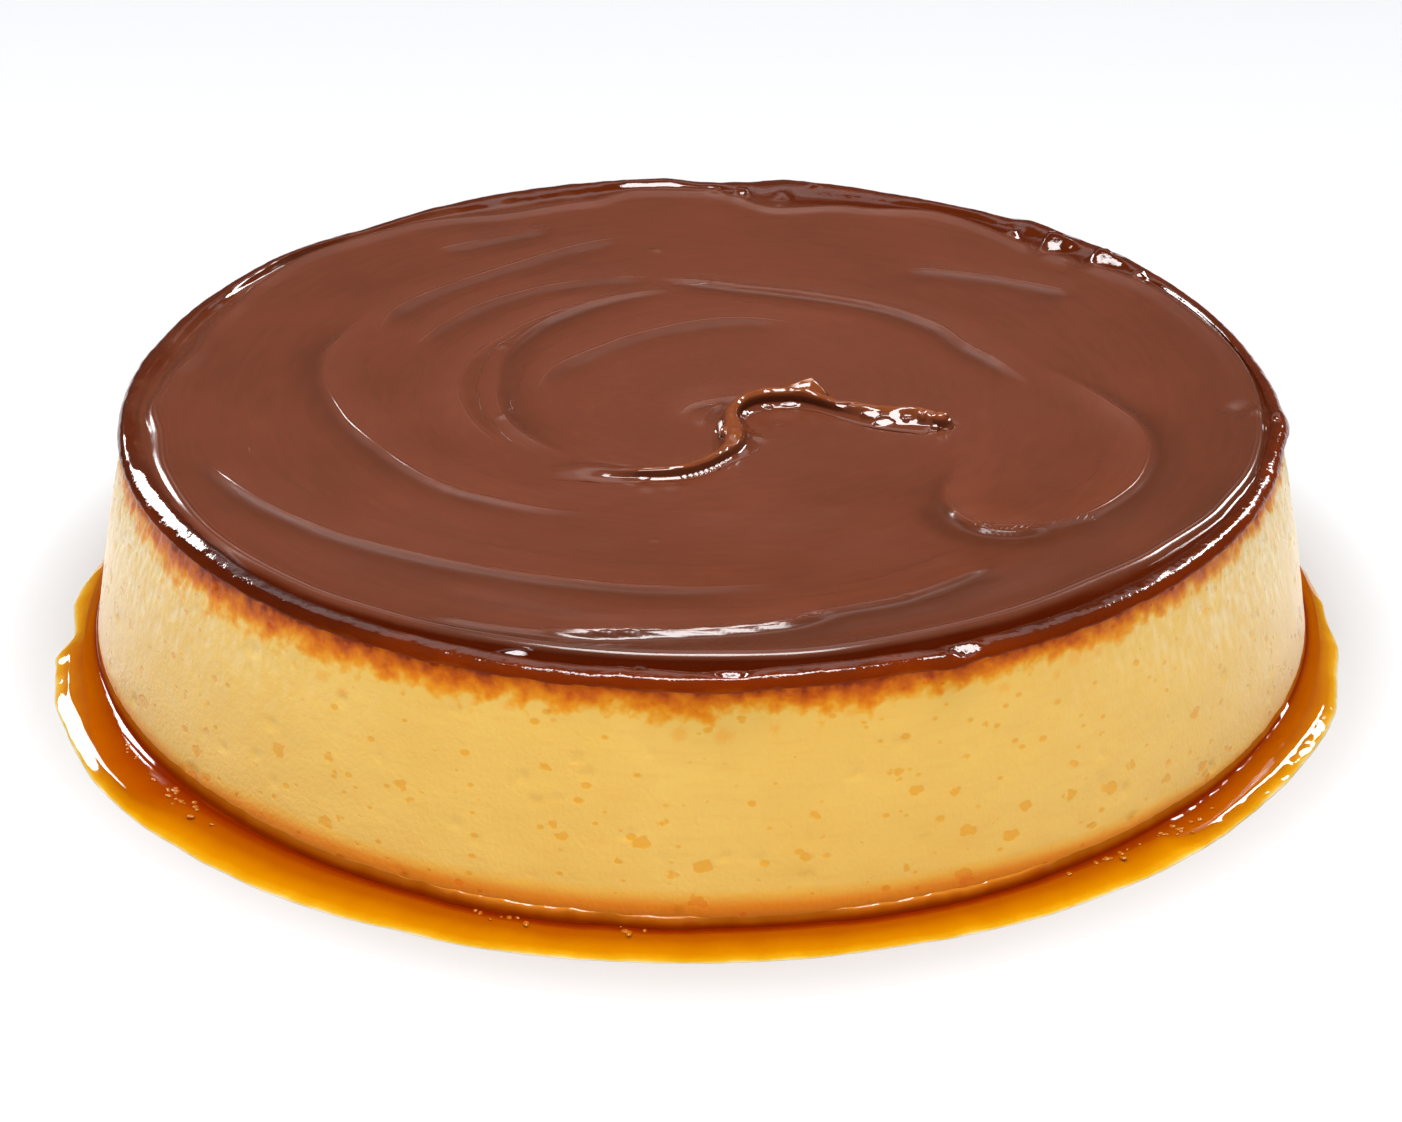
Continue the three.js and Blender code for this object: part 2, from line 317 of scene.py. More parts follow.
def custard_section():
    """The half section, from the middle of the base round to the middle of the top."""
    foot = [(0, 0), (60, 0), (FOOT_RADIUS - 5, 0), (FOOT_RADIUS - FOOT_ROUND, 0)]
    shoulder = CUSTARD_HEIGHT - SHOULDER_ROUND
    wall = [(FOOT_RADIUS, height) for height in np.linspace(FOOT_ROUND, shoulder, WALL_ROWS)]
    bend = [
        (FOOT_RADIUS - SHOULDER_ROUND * (1 - math.cos(turn)), shoulder + SHOULDER_ROUND * math.sin(turn))
        for turn in np.linspace(0.3, math.pi / 2, 4)
    ]
    return foot + wall + bend + [(60, CUSTARD_HEIGHT), (0, CUSTARD_HEIGHT)]


custard = spun("custard_body", custard_section(), WALL_STEPS)
points = points_of(custard)
angle, radius, height = polar(points)
arc = angle * FOOT_RADIUS
on_wall = smooth_step(radius, 60, FOOT_RADIUS - 5)
radius = radius + (wall_radius(height, angle) - FOOT_RADIUS) * on_wall

# The thin baked skin wrinkles where it came away from the pan, mostly at the two sides. The
# wrinkles are about 2 mm wide, lean a little, and fade down the wall. The wall is slack too, in
# shallow waves 9 mm wide.
WRINKLE_DEPTH = 0.55
WRINKLE_WIDTH = 2.0
WRINKLE_LENGTH = 5.5
WRINKLE_LEAN = 0.35
SLACK_DEPTH = 0.12
side = np.abs(np.cos(angle)) ** 5
near_top = smooth_step(height, 18, 39)
leaning = points[:, 1] + WRINKLE_LEAN * height
folds = rough(points[:, 0] / WRINKLE_WIDTH, leaning / WRINKLE_WIDTH, height / WRINKLE_LENGTH)
folds = 1 - 2 * np.abs(folds)
slack = SLACK_DEPTH * rough(points[:, 0] / 9, points[:, 1] / 9, height / 7) * smooth_step(height, 4, 9)
wrinkled = (0.08 + side) * (0.08 + 0.92 * near_top)
radius = radius + on_wall * (slack + WRINKLE_DEPTH * (folds - 1) * wrinkled)


def around_spot(at_angle, at_height, size, extent, stretch, raggedness):
    """The wall's corners near a spot, and how far out each lies: 1 on the spot's ragged rim."""
    turn = np.angle(np.exp(1j * (angle - at_angle)))
    close = (np.abs(height - at_height) < extent * size) & (np.abs(turn) < 0.04) & (on_wall > 0.9)
    near = np.flatnonzero(close)
    reach = np.hypot(turn[near] * FOOT_RADIUS / stretch, height[near] - at_height) / size
    return near, reach * (1 + raggedness * ragged[near])


# Open bubbles left by the baking are shallow dents, more of them low on the wall.
BUBBLE_COUNT = 520
BUBBLE_SEED = 5
BUBBLE_DEPTH = 0.3
draw = np.random.default_rng(BUBBLE_SEED)
dent = np.zeros(len(points))
ragged = rough(arc / 0.7, height / 0.7, 2.2, 1)
for _ in range(BUBBLE_COUNT):
    at_angle = draw.uniform(-math.pi, math.pi)
    at_height = 4 + 31 * draw.random() ** 1.3
    size = 0.35 + 0.85 * draw.random() ** 3
    near, reach = around_spot(at_angle, at_height, size, 1, draw.uniform(1.0, 1.9), 0.35)
    dent[near] = np.maximum(dent[near], np.sqrt(np.clip(1 - reach**2, 0, 1)) * min(size, 0.9))
radius = radius - BUBBLE_DEPTH * dent
move_points(custard, from_polar(angle, radius, height))

# How far caramel has run down the wall below the glaze, round the flan, with stray drops below.
STAIN_REACH = [
    (0, 5), (25, 5), (60, 5), (100, 5.5), (150, 5.5), (185, 6), (215, 7), (228, 7.6), (245, 6.2),
    (265, 5.4), (285, 5.6), (300, 5), (320, 5.4), (340, 5),
]
DROP_COUNT = 110
DROP_SEED = 11
draw = np.random.default_rng(DROP_SEED)
drops = np.zeros(len(points))
for _ in range(DROP_COUNT):
    at_angle = draw.uniform(-math.pi, math.pi)
    at_height = 38.5 - 6 * draw.random() ** 2.5
    near, reach = around_spot(at_angle, at_height, draw.uniform(0.5, 1.5), 2, 1.3, 0.5)
    drops[near] = np.maximum(drops[near], 1 - smooth_step(reach, 0.5, 1.2))
# Syrup has soaked the foot too, deepest at the front left.
SOAK_REACH = [
    (0, 4), (60, 4.5), (120, 4.5), (180, 5), (215, 7), (232, 9), (250, 8.8), (272, 8.6), (290, 8.2),
    (310, 7), (330, 5),
]
paint(custard, "fold", np.clip(1 - folds, 0, 1.5) * side * (0.12 + 0.88 * near_top))
# The stain's lower edge wanders in waves 7 mm wide.
run_down = around(STAIN_REACH, angle) * (1 + 0.22 * rough(arc / 7, 0.3, 5.2, 1))
paint(custard, "stain", (height - CUSTARD_HEIGHT) / run_down + 1)
paint(custard, "drops", drops)
paint(custard, "soak", 1 - height / around(SOAK_REACH, angle))

gel, tree, shader = new_material("baked_egg_custard")
# Egg custard scatters light deep inside, so it glows an even soft yellow with no hard shade.
# Its skin is moist. Caramel has soaked into it in blotches at the top, and syrup at the foot.
place = object_place(tree)
cloud = clouds(tree, place, 50.0, 3.0)
body = mixed(tree, cloud, srgb("f2ca6a"), srgb("eabb58"))
# Faint level streaks, 1 mm high and several long, from the batter's flow.
flow = add_node(tree, "ShaderNodeMapping", {"Vector": place, "Scale": (1.0, 1.0, 6.0)})
faint = remap(tree, clouds(tree, flow, 150.0, 3.0), (0.5, 0.72), (0.0, 0.2))
body = mixed(tree, faint, body, srgb("e8ab48"))
# Pin pores, 0.5 to 2 mm wide and oval, thinly scattered.
oval = {"Vector": place, "Rotation": (0.3, 0.5, 0.2), "Scale": (1.0, 1.0, 1.5)}
pore_place = add_node(tree, "ShaderNodeMapping", oval)
pores = add_node(tree, "ShaderNodeTexVoronoi", {"Vector": pore_place, "Scale": 330.0})
pore_size = add_node(tree, "ShaderNodeSeparateColor", {"Color": pores.outputs["Color"]})
chance = remap(tree, pore_size, (0.45, 1.0), (-0.05, 0.36))
inside = calculate(tree, "SUBTRACT", chance, pores.outputs["Distance"])
pin = remap(tree, inside, (0.0, 0.12))
# Open pits, 1 to 3 mm wide with ragged rims, a few to the square inch low on the wall. They die
# out towards the top.
wavy = clouds(tree, place, 700.0, 2.0)
centred = {0: wavy.outputs["Color"], 1: (0.5, 0.5, 0.5)}
wave = add_node(tree, "ShaderNodeVectorMath", centred, operation="SUBTRACT")
wave = add_node(tree, "ShaderNodeVectorMath", {0: wave, "Scale": 0.0022}, operation="SCALE")
pit_place = add_node(tree, "ShaderNodeVectorMath", {0: pore_place, 1: wave}, operation="ADD")
pits = add_node(tree, "ShaderNodeTexVoronoi", {"Vector": pit_place, "Scale": 190.0})
pit_size = add_node(tree, "ShaderNodeSeparateColor", {"Color": pits.outputs["Color"]})
pit_chance = remap(tree, pit_size, (0.3, 1.0), (0.0, 0.4))
level = add_node(tree, "ShaderNodeSeparateXYZ", {"Vector": place}).outputs["Z"]
high_share = remap(tree, level, (0.018, 0.036), (0.0, 0.28))
pit_chance = calculate(tree, "SUBTRACT", pit_chance, high_share)
pit = calculate(tree, "SUBTRACT", pit_chance, pits.outputs["Distance"])
pit = remap(tree, pit, (0.0, 0.07))
holes = calculate(tree, "MAXIMUM", pin, pit)
hole_tint = calculate(tree, "MULTIPLY", holes, 0.7)
body = mixed(tree, hole_tint, body, srgb("eaa41c"))
# At the two sides the wall is painted a paler cream, a painted sheen for the light its skin catches at a
# slant, and its folds are amber in their valleys.
fold = painted(tree, "fold")
valley = remap(tree, fold, (0.5, 1.2), (0.0, 0.6))
painted_side_sheen = remap(tree, fold, (0.0, 0.35), (0.0, 0.6))
body = mixed(tree, painted_side_sheen, body, srgb("fae6b8"))
body = mixed(tree, valley, body, srgb("e6a63c"))
# Caramel lies in the folds and soaks down from the top edge in blotches 2 to 4 mm wide.
blotched = remap(tree, clouds(tree, place, 340.0, 2.5), (0.3, 0.7), (-0.27, 0.27))
held = calculate(tree, "MULTIPLY_ADD", fold, 0.14, painted(tree, "stain"))
soaked = calculate(tree, "ADD", held, blotched)
top_wash = ramp(tree, soaked, [
    (0, "ffffff"), (0.1, "fff0c0"), (0.3, "fcc838"), (0.52, "f0a004"), (0.72, "de8200"), (0.88, "c66600"),
    (1, "9c4200"),
])
body = mixed(tree, 1.0, body, top_wash, "MULTIPLY")
drop_tint = calculate(tree, "MULTIPLY", painted(tree, "drops"), 0.42)
body = mixed(tree, drop_tint, body, srgb("ee9c14"))
low_wash = ramp(tree, painted(tree, "soak"), [
    (0, "ffffff"), (0.15, "fff0c0"), (0.36, "f6b838"), (0.6, "d88e1a"), (0.78, "b45e06"), (1, "9c4600"),
])
body = mixed(tree, 1.0, body, low_wash, "MULTIPLY")
# The skin's grain is 0.8 mm coarse. In the folds it has upright fibres 1 mm wide.
fibre_place = add_node(tree, "ShaderNodeMapping", {"Vector": place, "Scale": (1.0, 1.0, 0.2)})
fibres = clouds(tree, fibre_place, 900.0, 2.0)
grain = clouds(tree, place, 1200.0, 2.0)
skin = calculate(tree, "MULTIPLY_ADD", fibres, fold, grain)
pitted = calculate(tree, "MULTIPLY_ADD", holes, -0.5, skin)
bump = add_node(tree, "ShaderNodeBump", {"Height": pitted, "Strength": 0.6, "Distance": 0.2 * MM})
moist = remap(tree, holes, (0.0, 1.0), (0.32, 0.14))
# The plain skin has a soft bloom, and the stained skin has hardly any.
bloom = remap(tree, soaked, (0.1, 0.6), (0.42, 0.04))
set_inputs(shader, {
    "Base Color": body, "Normal": bump, "Roughness": moist, "Specular IOR Level": 0.2,
    "Subsurface Weight": 0.6, "Subsurface Radius": (1.0, 0.7, 0.35), "Subsurface Scale": 1.8 * MM,
    "Sheen Weight": bloom, "Sheen Roughness": 0.35,
})
custard.data.materials.append(gel)
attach(custard, "root")
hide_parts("custard")

# ---------------------------------------------------------------- caramel glaze
# Thick milky caramel, spread warm with the back of a spoon. The spoon left a spiral of low steps
# and pushed up a ring just inside the edge, and the sheet laps over the custard's shoulder as a
# rounded wet lip. It thins there to a clear red amber.
GLAZE_TOP = 44.0
UNDERSIDE = 42.25
LIP_RADIUS = 107.3
RIM_CREST = 98.0
# The sheet is spun as three rings, with fewer steps towards the middle, and bridged over the gaps.
RIM_STEPS = 640
FIELD_STEPS = 320
EYE_STEPS = 160
FIELD_RADIUS = 50.0
EYE_RADIUS = 24.6
GAP = 0.6

# Round the flan in degrees: how far out the ring's crest lies, how far the lip is lifted, and how
# far it swells outward.
RIM_CREST_AT = [
    (6, 102.6), (25, 101.5), (45, 95.5), (60, 99.4), (70, 94.8), (80, 90.2), (90, 98.5), (98, 99.6),
    (104, 95.6), (114, 94.8), (128, 100.2), (142, 102.2), (150, 100.8), (158, 98.8), (170, 97.8),
    (178, 99.6), (185, 101), (191, 99.9), (200, 100.8), (215, 101.6), (230, 101.2), (240, 100.4),
    (252, 99.6), (262, 99.5), (270, 99.4), (280, 100), (291, 99.3), (300, 99.3), (310, 99), (320, 100.2),
    (332, 101.8), (342, 102.8),
]
LIP_LIFT_AT = [
    (0, 0), (8, -0.2), (22, 0.1), (30, 0.2), (37, 0.6), (44, 0.5), (49.5, 1.1), (53, 0.2), (66, 0),
    (80, 0.6), (85, -0.1), (90, -0.1), (94, 0.6), (112, 0.6), (122, 0.4), (130, -0.1), (143, 0.9),
    (156, 0.4), (168, -0.1), (173, 0.3), (180, 0.3), (205, -0.1), (240, 0.1), (256, -0.2), (272, 0.1),
    (300, -0.1), (330, 0.1), (352, 0.3),
]
LIP_SWELL_AT = [
    (10, -0.4), (36, 0.3), (46, -0.2), (80, 0.4), (88, -0.6), (96, 0.3), (132, -0.5), (172, 0.2),
    (215, -0.2), (262, 0.1), (271.5, 1.1), (278, 0.1), (289, -0.1), (292, 0.9), (295.5, -0.1), (320, 0.1),
    (348, 0.1), (353.5, 1.1), (358, 0.1),
]
# A second low ridge rides on the slope between the ring and the lip: how high it stands over its
# trough, and how far out it lies from the ring, 0, to the lip, 1.
RIDGE_HEIGHT_AT = [
    (5, 0.8), (30, 0.7), (60, 1), (100, 0.8), (140, 0.8), (165, 0.9), (184, 0.7), (195, 0.2), (214, 0.2),
    (228, 0.7), (246, 0.95), (256, 1.12), (270, 1.16), (286, 1.08), (302, 0.8), (318, 0.7), (340, 0.6),
]
RIDGE_PLACE_AT = [
    (0, 0.7), (90, 0.7), (180, 0.7), (250, 0.66), (258, 0.74), (264, 0.68), (272, 0.8), (278, 0.7),
    (340, 0.72),
]
# The spoon's last touch left a thick finger on the rim, just outside the ring: the angles where
# it starts and fades out, its crest's distance from the middle, how wide its inner face and its
# outward slope are, and its height.
FINGER_START = 193.0
FINGER_STOP = 225.0
FINGER_CREST = 103.8
FINGER_FACE = 1.8
FINGER_SLOPE = 3.5
FINGER_HEIGHT = 0.7

# Spoon marks: a ridge height and a width, and the stations it runs through. The gentle side is
# on the left of travel and the steep side, with its groove, on the right.
SPOON_MARKS = [
    (0.4, 1.3, [
        (-22, -29.5), (-31, -21), (-36, -12), (-38, -2), (-38.3, 8), (-37.3, 17.3), (-33, 27.2),
        (-27.2, 34.7), (-19.7, 41), (-10.5, 45.5), (-1.3, 47.3),
    ]),
    (0.22, 2.4, [
        (-34.7, -25.3), (-41, -15.3), (-44.7, -3.7), (-45, 6.3), (-42.7, 16), (-38.3, 23.7),
        (-32.7, 31.3), (-24.7, 38.3), (-16.3, 43.3),
    ]),
    (0.6, 1.5, [
        (-11.3, 53.3), (-1.3, 50.7), (7, 48), (23.7, 43.4), (37, 37.2), (46.2, 28.8), (51.2, 19.7),
        (57, 11.3), (62.8, 1.3),
    ]),
    (0.42, 2, [
        (47.3, -20.3), (45.8, -32), (43.2, -42), (43.3, -48.7), (45.7, -53.7), (50.3, -55.3), (58.7, -54),
        (67, -50), (73.7, -42.8), (77.8, -35.3), (80.3, -25.3), (79.5, -15.3), (75.3, -6.2), (68.7, 4.7),
        (58.7, 16.3),
    ]),
    (0.6, 1, [(43.6, -46), (44.2, -52), (48, -56.5), (54, -57.5), (61, -55)]),
    (0.3, 1.3, [
        (-63.8, 38.8), (-68, 28), (-70.5, 19.7), (-71.3, 11.3), (-69.7, 1.3), (-66.3, -8.7),
        (-63.3, -15.3), (-58, -23.7), (-51.3, -33.3), (-44.7, -40), (-37.2, -44.5), (-27.2, -48.7),
        (-14.7, -50.7),
    ]),
    (0.4, 1.5, [
        (-90.5, -23.7), (-86.3, -32.8), (-78, -43.7), (-68, -53.3), (-59.7, -59.3), (-48, -65.3),
        (-36.3, -70.3), (-24.7, -74), (-11.3, -76.7), (2, -77), (15.3, -75),
    ]),
    (0.45, 1.2, [(-48, -85.7), (-34.7, -90.3), (-24.7, -92.3), (-16.3, -93), (-1.3, -91)]),
    (0.85, 1, [
        (-27, -91.8), (-18.1, -93.2), (-8.1, -92.8), (0, -92.2), (8, -91), (15.7, -88.9), (23.7, -84.8),
    ]),
    (0.45, 1.2, [(12, -88.3), (23.7, -84), (32.8, -80.7), (42, -74.5), (50.3, -67.8)]),
    (0.3, 3, [
        (-31.3, -2), (-28, 9.7), (-19.7, 18.8), (-11.3, 25.8), (-1.3, 31), (8.7, 32.7), (20.3, 30.5),
    ]),
    (0.36, 2.8, [(-63, 24.7), (-59.7, 38), (-48, 51), (-34.7, 62.2), (-24.7, 69.7), (-13, 75.5)]),
    (0.3, 2.6, [(-55.5, 18), (-51.3, 28), (-43, 39.7), (-31.3, 48), (-18, 52.2), (-8, 53.3)]),
    (0.36, 2.6, [(-54.7, 67.2), (-42.2, 73.3), (-30.5, 78.8)]),
    (0.42, 2.2, [(39.5, 58), (48.7, 56), (58.7, 52.6), (68.7, 48), (75.3, 44)]),
    (0.3, 0.9, [(-4, -10), (-1.6, -6.4), (2, -4.4), (6, -3.2), (11, -2.4), (16, -2.2)]),
    (0.3, 0.8, [(0, -15), (0.6, -11), (2, -8), (5, -5.8)]),
]
MARK_ACROSS = [-4.0, -2.4, -1.1, -0.4, 0.0, 0.4, 0.8, 1.2, 1.8, 2.8, 4.0]
MARK_RISES = [0.0, 0.1, 0.45, 0.82, 1.05, 0.82, 0.28, -0.06, -0.2, -0.08, 0.0]

# The cream is painted lighter behind a ridge, a painted sheen, and darker in a band before it, a painted
# shade.
PAINTED_LIGHT_ACROSS = [-8.0, -4.0, -1.2, 0.0, 0.9, 2.0, 4.0, 8.0]
PAINTED_LIGHTS = [0.0, 0.35, 0.6, 0.6, -0.5, -1.0, -0.6, 0.0]

# Lumps and hollows: x, y, how far each reaches, and how high it stands.
LUMPS = [
    (-38, 18.8, 1.1, 0.55), (-36.3, -12, 1, 0.5), (-9, 67, 1.4, 0.4), (-8, -60, 0.6, 0.3),
    (33.7, -80.3, 0.8, 0.4), (48.5, -56, 1.2, 0.4), (14, -11, 7, -0.8), (70, -44, 0.8, 0.3),
    (10.5, -20.5, 1.8, 0.4), (-9.5, -40.4, 1.4, 0.25), (-5.5, -39.8, 1.4, 0.25), (83.3, 60.5, 2.8, 1.1),
    (74.5, 70.2, 3.2, 1.1), (77, 60, 3, -0.9), (69.5, 67, 3, -0.9), (89, 51, 1.6, 0.5),
    (66, 76, 1.8, 0.6), (98.3, -8.5, 3.2, -0.6), (101.8, -10, 2, 0.4), (104.6, -12, 1.4, 0.5),
    (39.4, -98, 1.6, 0.4), (3.6, -104.2, 1.6, 0.3), (9, 95, 2, 0.5), (3, 98, 1.8, 0.5),
    (18, 96, 2.2, 0.5),
]

# Flats where a thick drop hangs on the lip or runs together: their middle, height and half sizes.
FLATS = [
    (42.3, -96.9, 43.35, 3.6, 1.6), (4.6, -105.2, 42.9, 2.6, 1.5), (-9.8, -103.2, 43.4, 1.6, 1.1),
    (-30.5, -97.8, 43.7, 2.6, 0.8), (81.4, 60.7, 45.3, 2.3, 2.6), (72.4, 69.2, 45.3, 3, 2.4),
    (87.9, 52.8, 45, 1.5, 1.2), (64.2, 74.3, 44.9, 1.3, 1.2), (17, 97, 44.8, 1.8, 1),
    (8.6, 98.8, 44.8, 1.6, 0.9), (3.5, 99.2, 44.8, 1.1, 0.8), (24, 100.5, 44.8, 1.6, 0.9),
    (105.2, -12.3, 44.2, 1, 1.5),
]
FLAT_SLOPE = 0.6


def curve_through(stations, count):
    """A smooth open curve through given stations, as count evenly numbered samples."""
    knots = np.asarray(stations, float)
    spots = np.linspace(0, len(knots) - 1, count)
    start = np.minimum(spots.astype(int), len(knots) - 2)
    share = (spots - start)[:, None]
    padded = np.vstack([2 * knots[0] - knots[1], knots, 2 * knots[-1] - knots[-2]])
    before, here, there, after = (padded[start + i] for i in range(4))
    return 0.5 * (
        2 * here + (there - before) * share
        + (2 * before - 5 * here + 4 * there - after) * share**2
        + (3 * here - before - 3 * there + after) * share**3
    )


def beside(spots, path, reach):
    """The spots within reach of a path: their numbers, how far along it and how far to its right."""
    low, high = path.min(0) - reach, path.max(0) + reach
    near = np.flatnonzero(np.all((spots > low) & (spots < high), axis=1))
    ahead = np.gradient(path, axis=0)
    ahead /= np.linalg.norm(ahead, axis=1)[:, None]
    found = []
    for part in np.array_split(near, 1 + len(near) // 4000):
        gap = spots[part, None] - path[None]
        best = (gap**2).sum(2).argmin(1)
        offset = gap[np.arange(len(part)), best]
        right = offset[:, 0] * ahead[best, 1] - offset[:, 1] * ahead[best, 0]
        kept = np.hypot(*offset.T) < reach
        found.append((part[kept], best[kept] / (len(path) - 1), right[kept]))
    return [np.concatenate(columns) for columns in zip(*found)]


def faded(share):
    """1 along a mark, fading out to 0 over its two ends."""
    return smooth_step(share, 0, 0.18) * smooth_step(1 - share, 0, 0.18)


def spread_relief(spots, painted_light=None, crest=None):
    """How far the spread stands above its plane at (x, y) spots. Notes tone and crest if given.

    Into the first it adds the light and shade painted onto the cream beside each mark, and into the second it
    writes the nearest mark's distance and strength.
    """
    x, y = spots.T
    inside = smooth_step(100 - np.hypot(x, y), 0, 12)
    relief = (0.2 * rough(x / 34, y / 34, 0.3) + 0.05 * rough(x / 9, y / 9, 4.1)) * inside
    for rise, width, stations in SPOON_MARKS:
        path = curve_through(stations, 40 * len(stations))
        near, share, right = beside(spots, path, 4 * width)
        relief[near] += rise * faded(share) * np.interp(right / width, MARK_ACROSS, MARK_RISES)
        if painted_light is not None:
            # Painted light and shade beside the mark: lighter behind its ridge, darker in a band before it.
            near, share, right = beside(spots, path, 8)
            painted_light[near] += (0.4 + rise) * faded(share) * np.interp(right, PAINTED_LIGHT_ACROSS, PAINTED_LIGHTS)
            closer = np.abs(right) < np.abs(crest[near, 0])
            crest[near[closer]] = np.column_stack([right, faded(share), right * 0])[closer]
    for lump_x, lump_y, reach, rise in LUMPS:
        relief += rise * np.exp(-((x - lump_x) ** 2 + (y - lump_y) ** 2) / (0.5 * reach**2))
    return relief


def rim_section():
    """The glaze's section from its underside, round the lip and in over the raised ring."""
    keys = [
        (104.8, UNDERSIDE), (106.2, UNDERSIDE), (106.9, UNDERSIDE + 0.1), (107.25, UNDERSIDE + 0.36),
        (107.1, UNDERSIDE + 0.68), (106.45, UNDERSIDE + 0.98), (105.6, UNDERSIDE + 1.22),
        (104.7, UNDERSIDE + 1.36), (103.6, UNDERSIDE + 1.44), (102.0, UNDERSIDE + 1.5),
        (100.0, GLAZE_TOP + 0.02), (RIM_CREST, GLAZE_TOP + 0.52), (96.7, GLAZE_TOP + 0.36),
        (94.8, GLAZE_TOP + 0.08), (92.5, GLAZE_TOP), (90, GLAZE_TOP),
    ]
    return [tuple(point) for point in curve_through(keys, 56)]


def flat_section(outer, inner, spacing):
    """Evenly spaced points of the flat top, from an outer radius in to an inner one."""
    return [(r, GLAZE_TOP) for r in np.linspace(outer, inner, round((outer - inner) / spacing) + 1)]


section = [(0, UNDERSIDE), (45, UNDERSIDE), (90, UNDERSIDE)] + rim_section()
section += flat_section(89.7, 85, 0.4) + flat_section(84.4, FIELD_RADIUS, 0.7)
glaze = spun("glaze_sheet", section, RIM_STEPS)
middle = spun("glaze_middle", flat_section(FIELD_RADIUS - GAP, EYE_RADIUS, 0.7), FIELD_STEPS)
eye = spun("glaze_eye", flat_section(EYE_RADIUS - GAP, 0, 0.85), EYE_STEPS)
glaze = joined([eye, middle, glaze])


def edges_on(piece, radii):
    """Which edges run round the piece at one of some radii."""
    ends = np.empty(len(piece.data.edges) * 2, int)
    piece.data.edges.foreach_get("vertices", ends)
    reach = np.hypot(*points_of(piece)[ends.reshape(-1, 2), :2].transpose(2, 0, 1))
    return np.any([np.all(np.abs(reach - radius) < 0.05, axis=1) for radius in radii], axis=0)


for radii in ((FIELD_RADIUS, FIELD_RADIUS - GAP), (EYE_RADIUS, EYE_RADIUS - GAP)):
    bpy.ops.object.mode_set(mode="EDIT")
    bpy.ops.mesh.select_mode(type="EDGE")
    bpy.ops.mesh.select_all(action="DESELECT")
    bpy.ops.object.mode_set(mode="OBJECT")
    glaze.data.edges.foreach_set("select", edges_on(glaze, radii))
    bpy.ops.object.mode_set(mode="EDIT")
    bpy.ops.mesh.bridge_edge_loops()
    bpy.ops.object.mode_set(mode="OBJECT")
clean_up(0)
bpy.ops.object.shade_smooth()

# The rim is pushed in and out, then the sheet is pressed into its relief.
LIP_HANG = 0.45
LIP_PUSH = 0.3
angle, radius, height = polar(points_of(glaze))
on_top = smooth_step(height, UNDERSIDE + 0.35, UNDERSIDE + 1.1)
down_face = 1 - smooth_step(height, UNDERSIDE + 0.15, UNDERSIDE + 1.3)
outward = np.clip((radius - RIM_CREST) / (LIP_RADIUS - RIM_CREST), 0, 1)
edge = np.where(radius > 96, 0.6 * outward + 0.4 * down_face * (radius > 104), 0)
ring_shift = around(RIM_CREST_AT, angle) - RIM_CREST
ring_share = smooth_step(radius, 82, RIM_CREST) * (1 - smooth_step(radius, RIM_CREST, 106))
lip_share = smooth_step(radius, 100, 104.5)
ridge = around(RIDGE_HEIGHT_AT, angle)
ridge_place = around(RIDGE_PLACE_AT, angle)
trough = np.exp(-(((outward - 0.33) / 0.19) ** 4))
crown = np.exp(-((np.minimum(outward - ridge_place, 0) / 0.14) ** 2))
sunk = np.clip(ridge * trough, 0, 1)
ridge_rise = ridge * (0.5 * crown - 0.6 * trough)
height = height + on_top * (ridge_rise + around(LIP_LIFT_AT, angle) * lip_share)
radius = radius + ring_shift * ring_share + around(LIP_SWELL_AT, angle) * lip_share
degrees = np.mod(np.degrees(angle), 360)
finger = smooth_step(radius, FINGER_CREST - FINGER_FACE, FINGER_CREST)
finger = np.minimum(finger, np.clip((FINGER_CREST + FINGER_SLOPE - radius) / FINGER_SLOPE, 0, 1))
finger = finger * smooth_step(degrees, FINGER_START, FINGER_START + 7)
finger = finger * (1 - smooth_step(degrees, FINGER_STOP - 9, FINGER_STOP))
height = height + on_top * FINGER_HEIGHT * finger
lap = rough_round(angle, 26, 0.7)
height = height + (0.3 * lap - LIP_HANG) * lip_share * (1 - on_top)
radius = radius + LIP_PUSH * lip_share * (1 - on_top)
radius = radius + 0.1 * rough_round(angle, 40, height / 2) * lip_share
uneven = rough_round(angle, 30, radius / 3)
height = height + 0.1 * uneven * on_top * smooth_step(outward, 0.1, 0.4)
from_ring = radius - around(RIM_CREST_AT, angle)
points = from_polar(angle, radius, height)
painted_light = np.zeros(len(points))
crest = np.full((len(points), 3), 9.0) * (1, 0, 0)
points[:, 2] += spread_relief(points[:, :2], painted_light, crest) * on_top
in_flat = np.zeros(len(points))
for x, y, z, half_x, half_y in FLATS:
    reach = np.hypot((points[:, 0] - x) / half_x, (points[:, 1] - y) / half_y) * (1 + 0.25 * uneven)
    share = on_top * (1 - smooth_step(reach, 0.7, 1.3))
    in_flat = np.maximum(in_flat, share)
    points[:, 2] += share * (z + FLAT_SLOPE * (points[:, 1] - y) - points[:, 2])

# How much painted shade darkens the dip round the flan, and how clear the lip is.
DIP_SHADE_AT = [
    (0, 0.5), (60, 0.5), (110, 0.3), (150, 0.15), (200, 0.2), (214, 0.8), (240, 1), (300, 1), (330, 0.6),
]
CLEAR_AT = [(30, 1), (60, 1), (100, 0.7), (140, 0.45), (195, 0.45), (212, 0.8), (225, 1), (345, 1)]

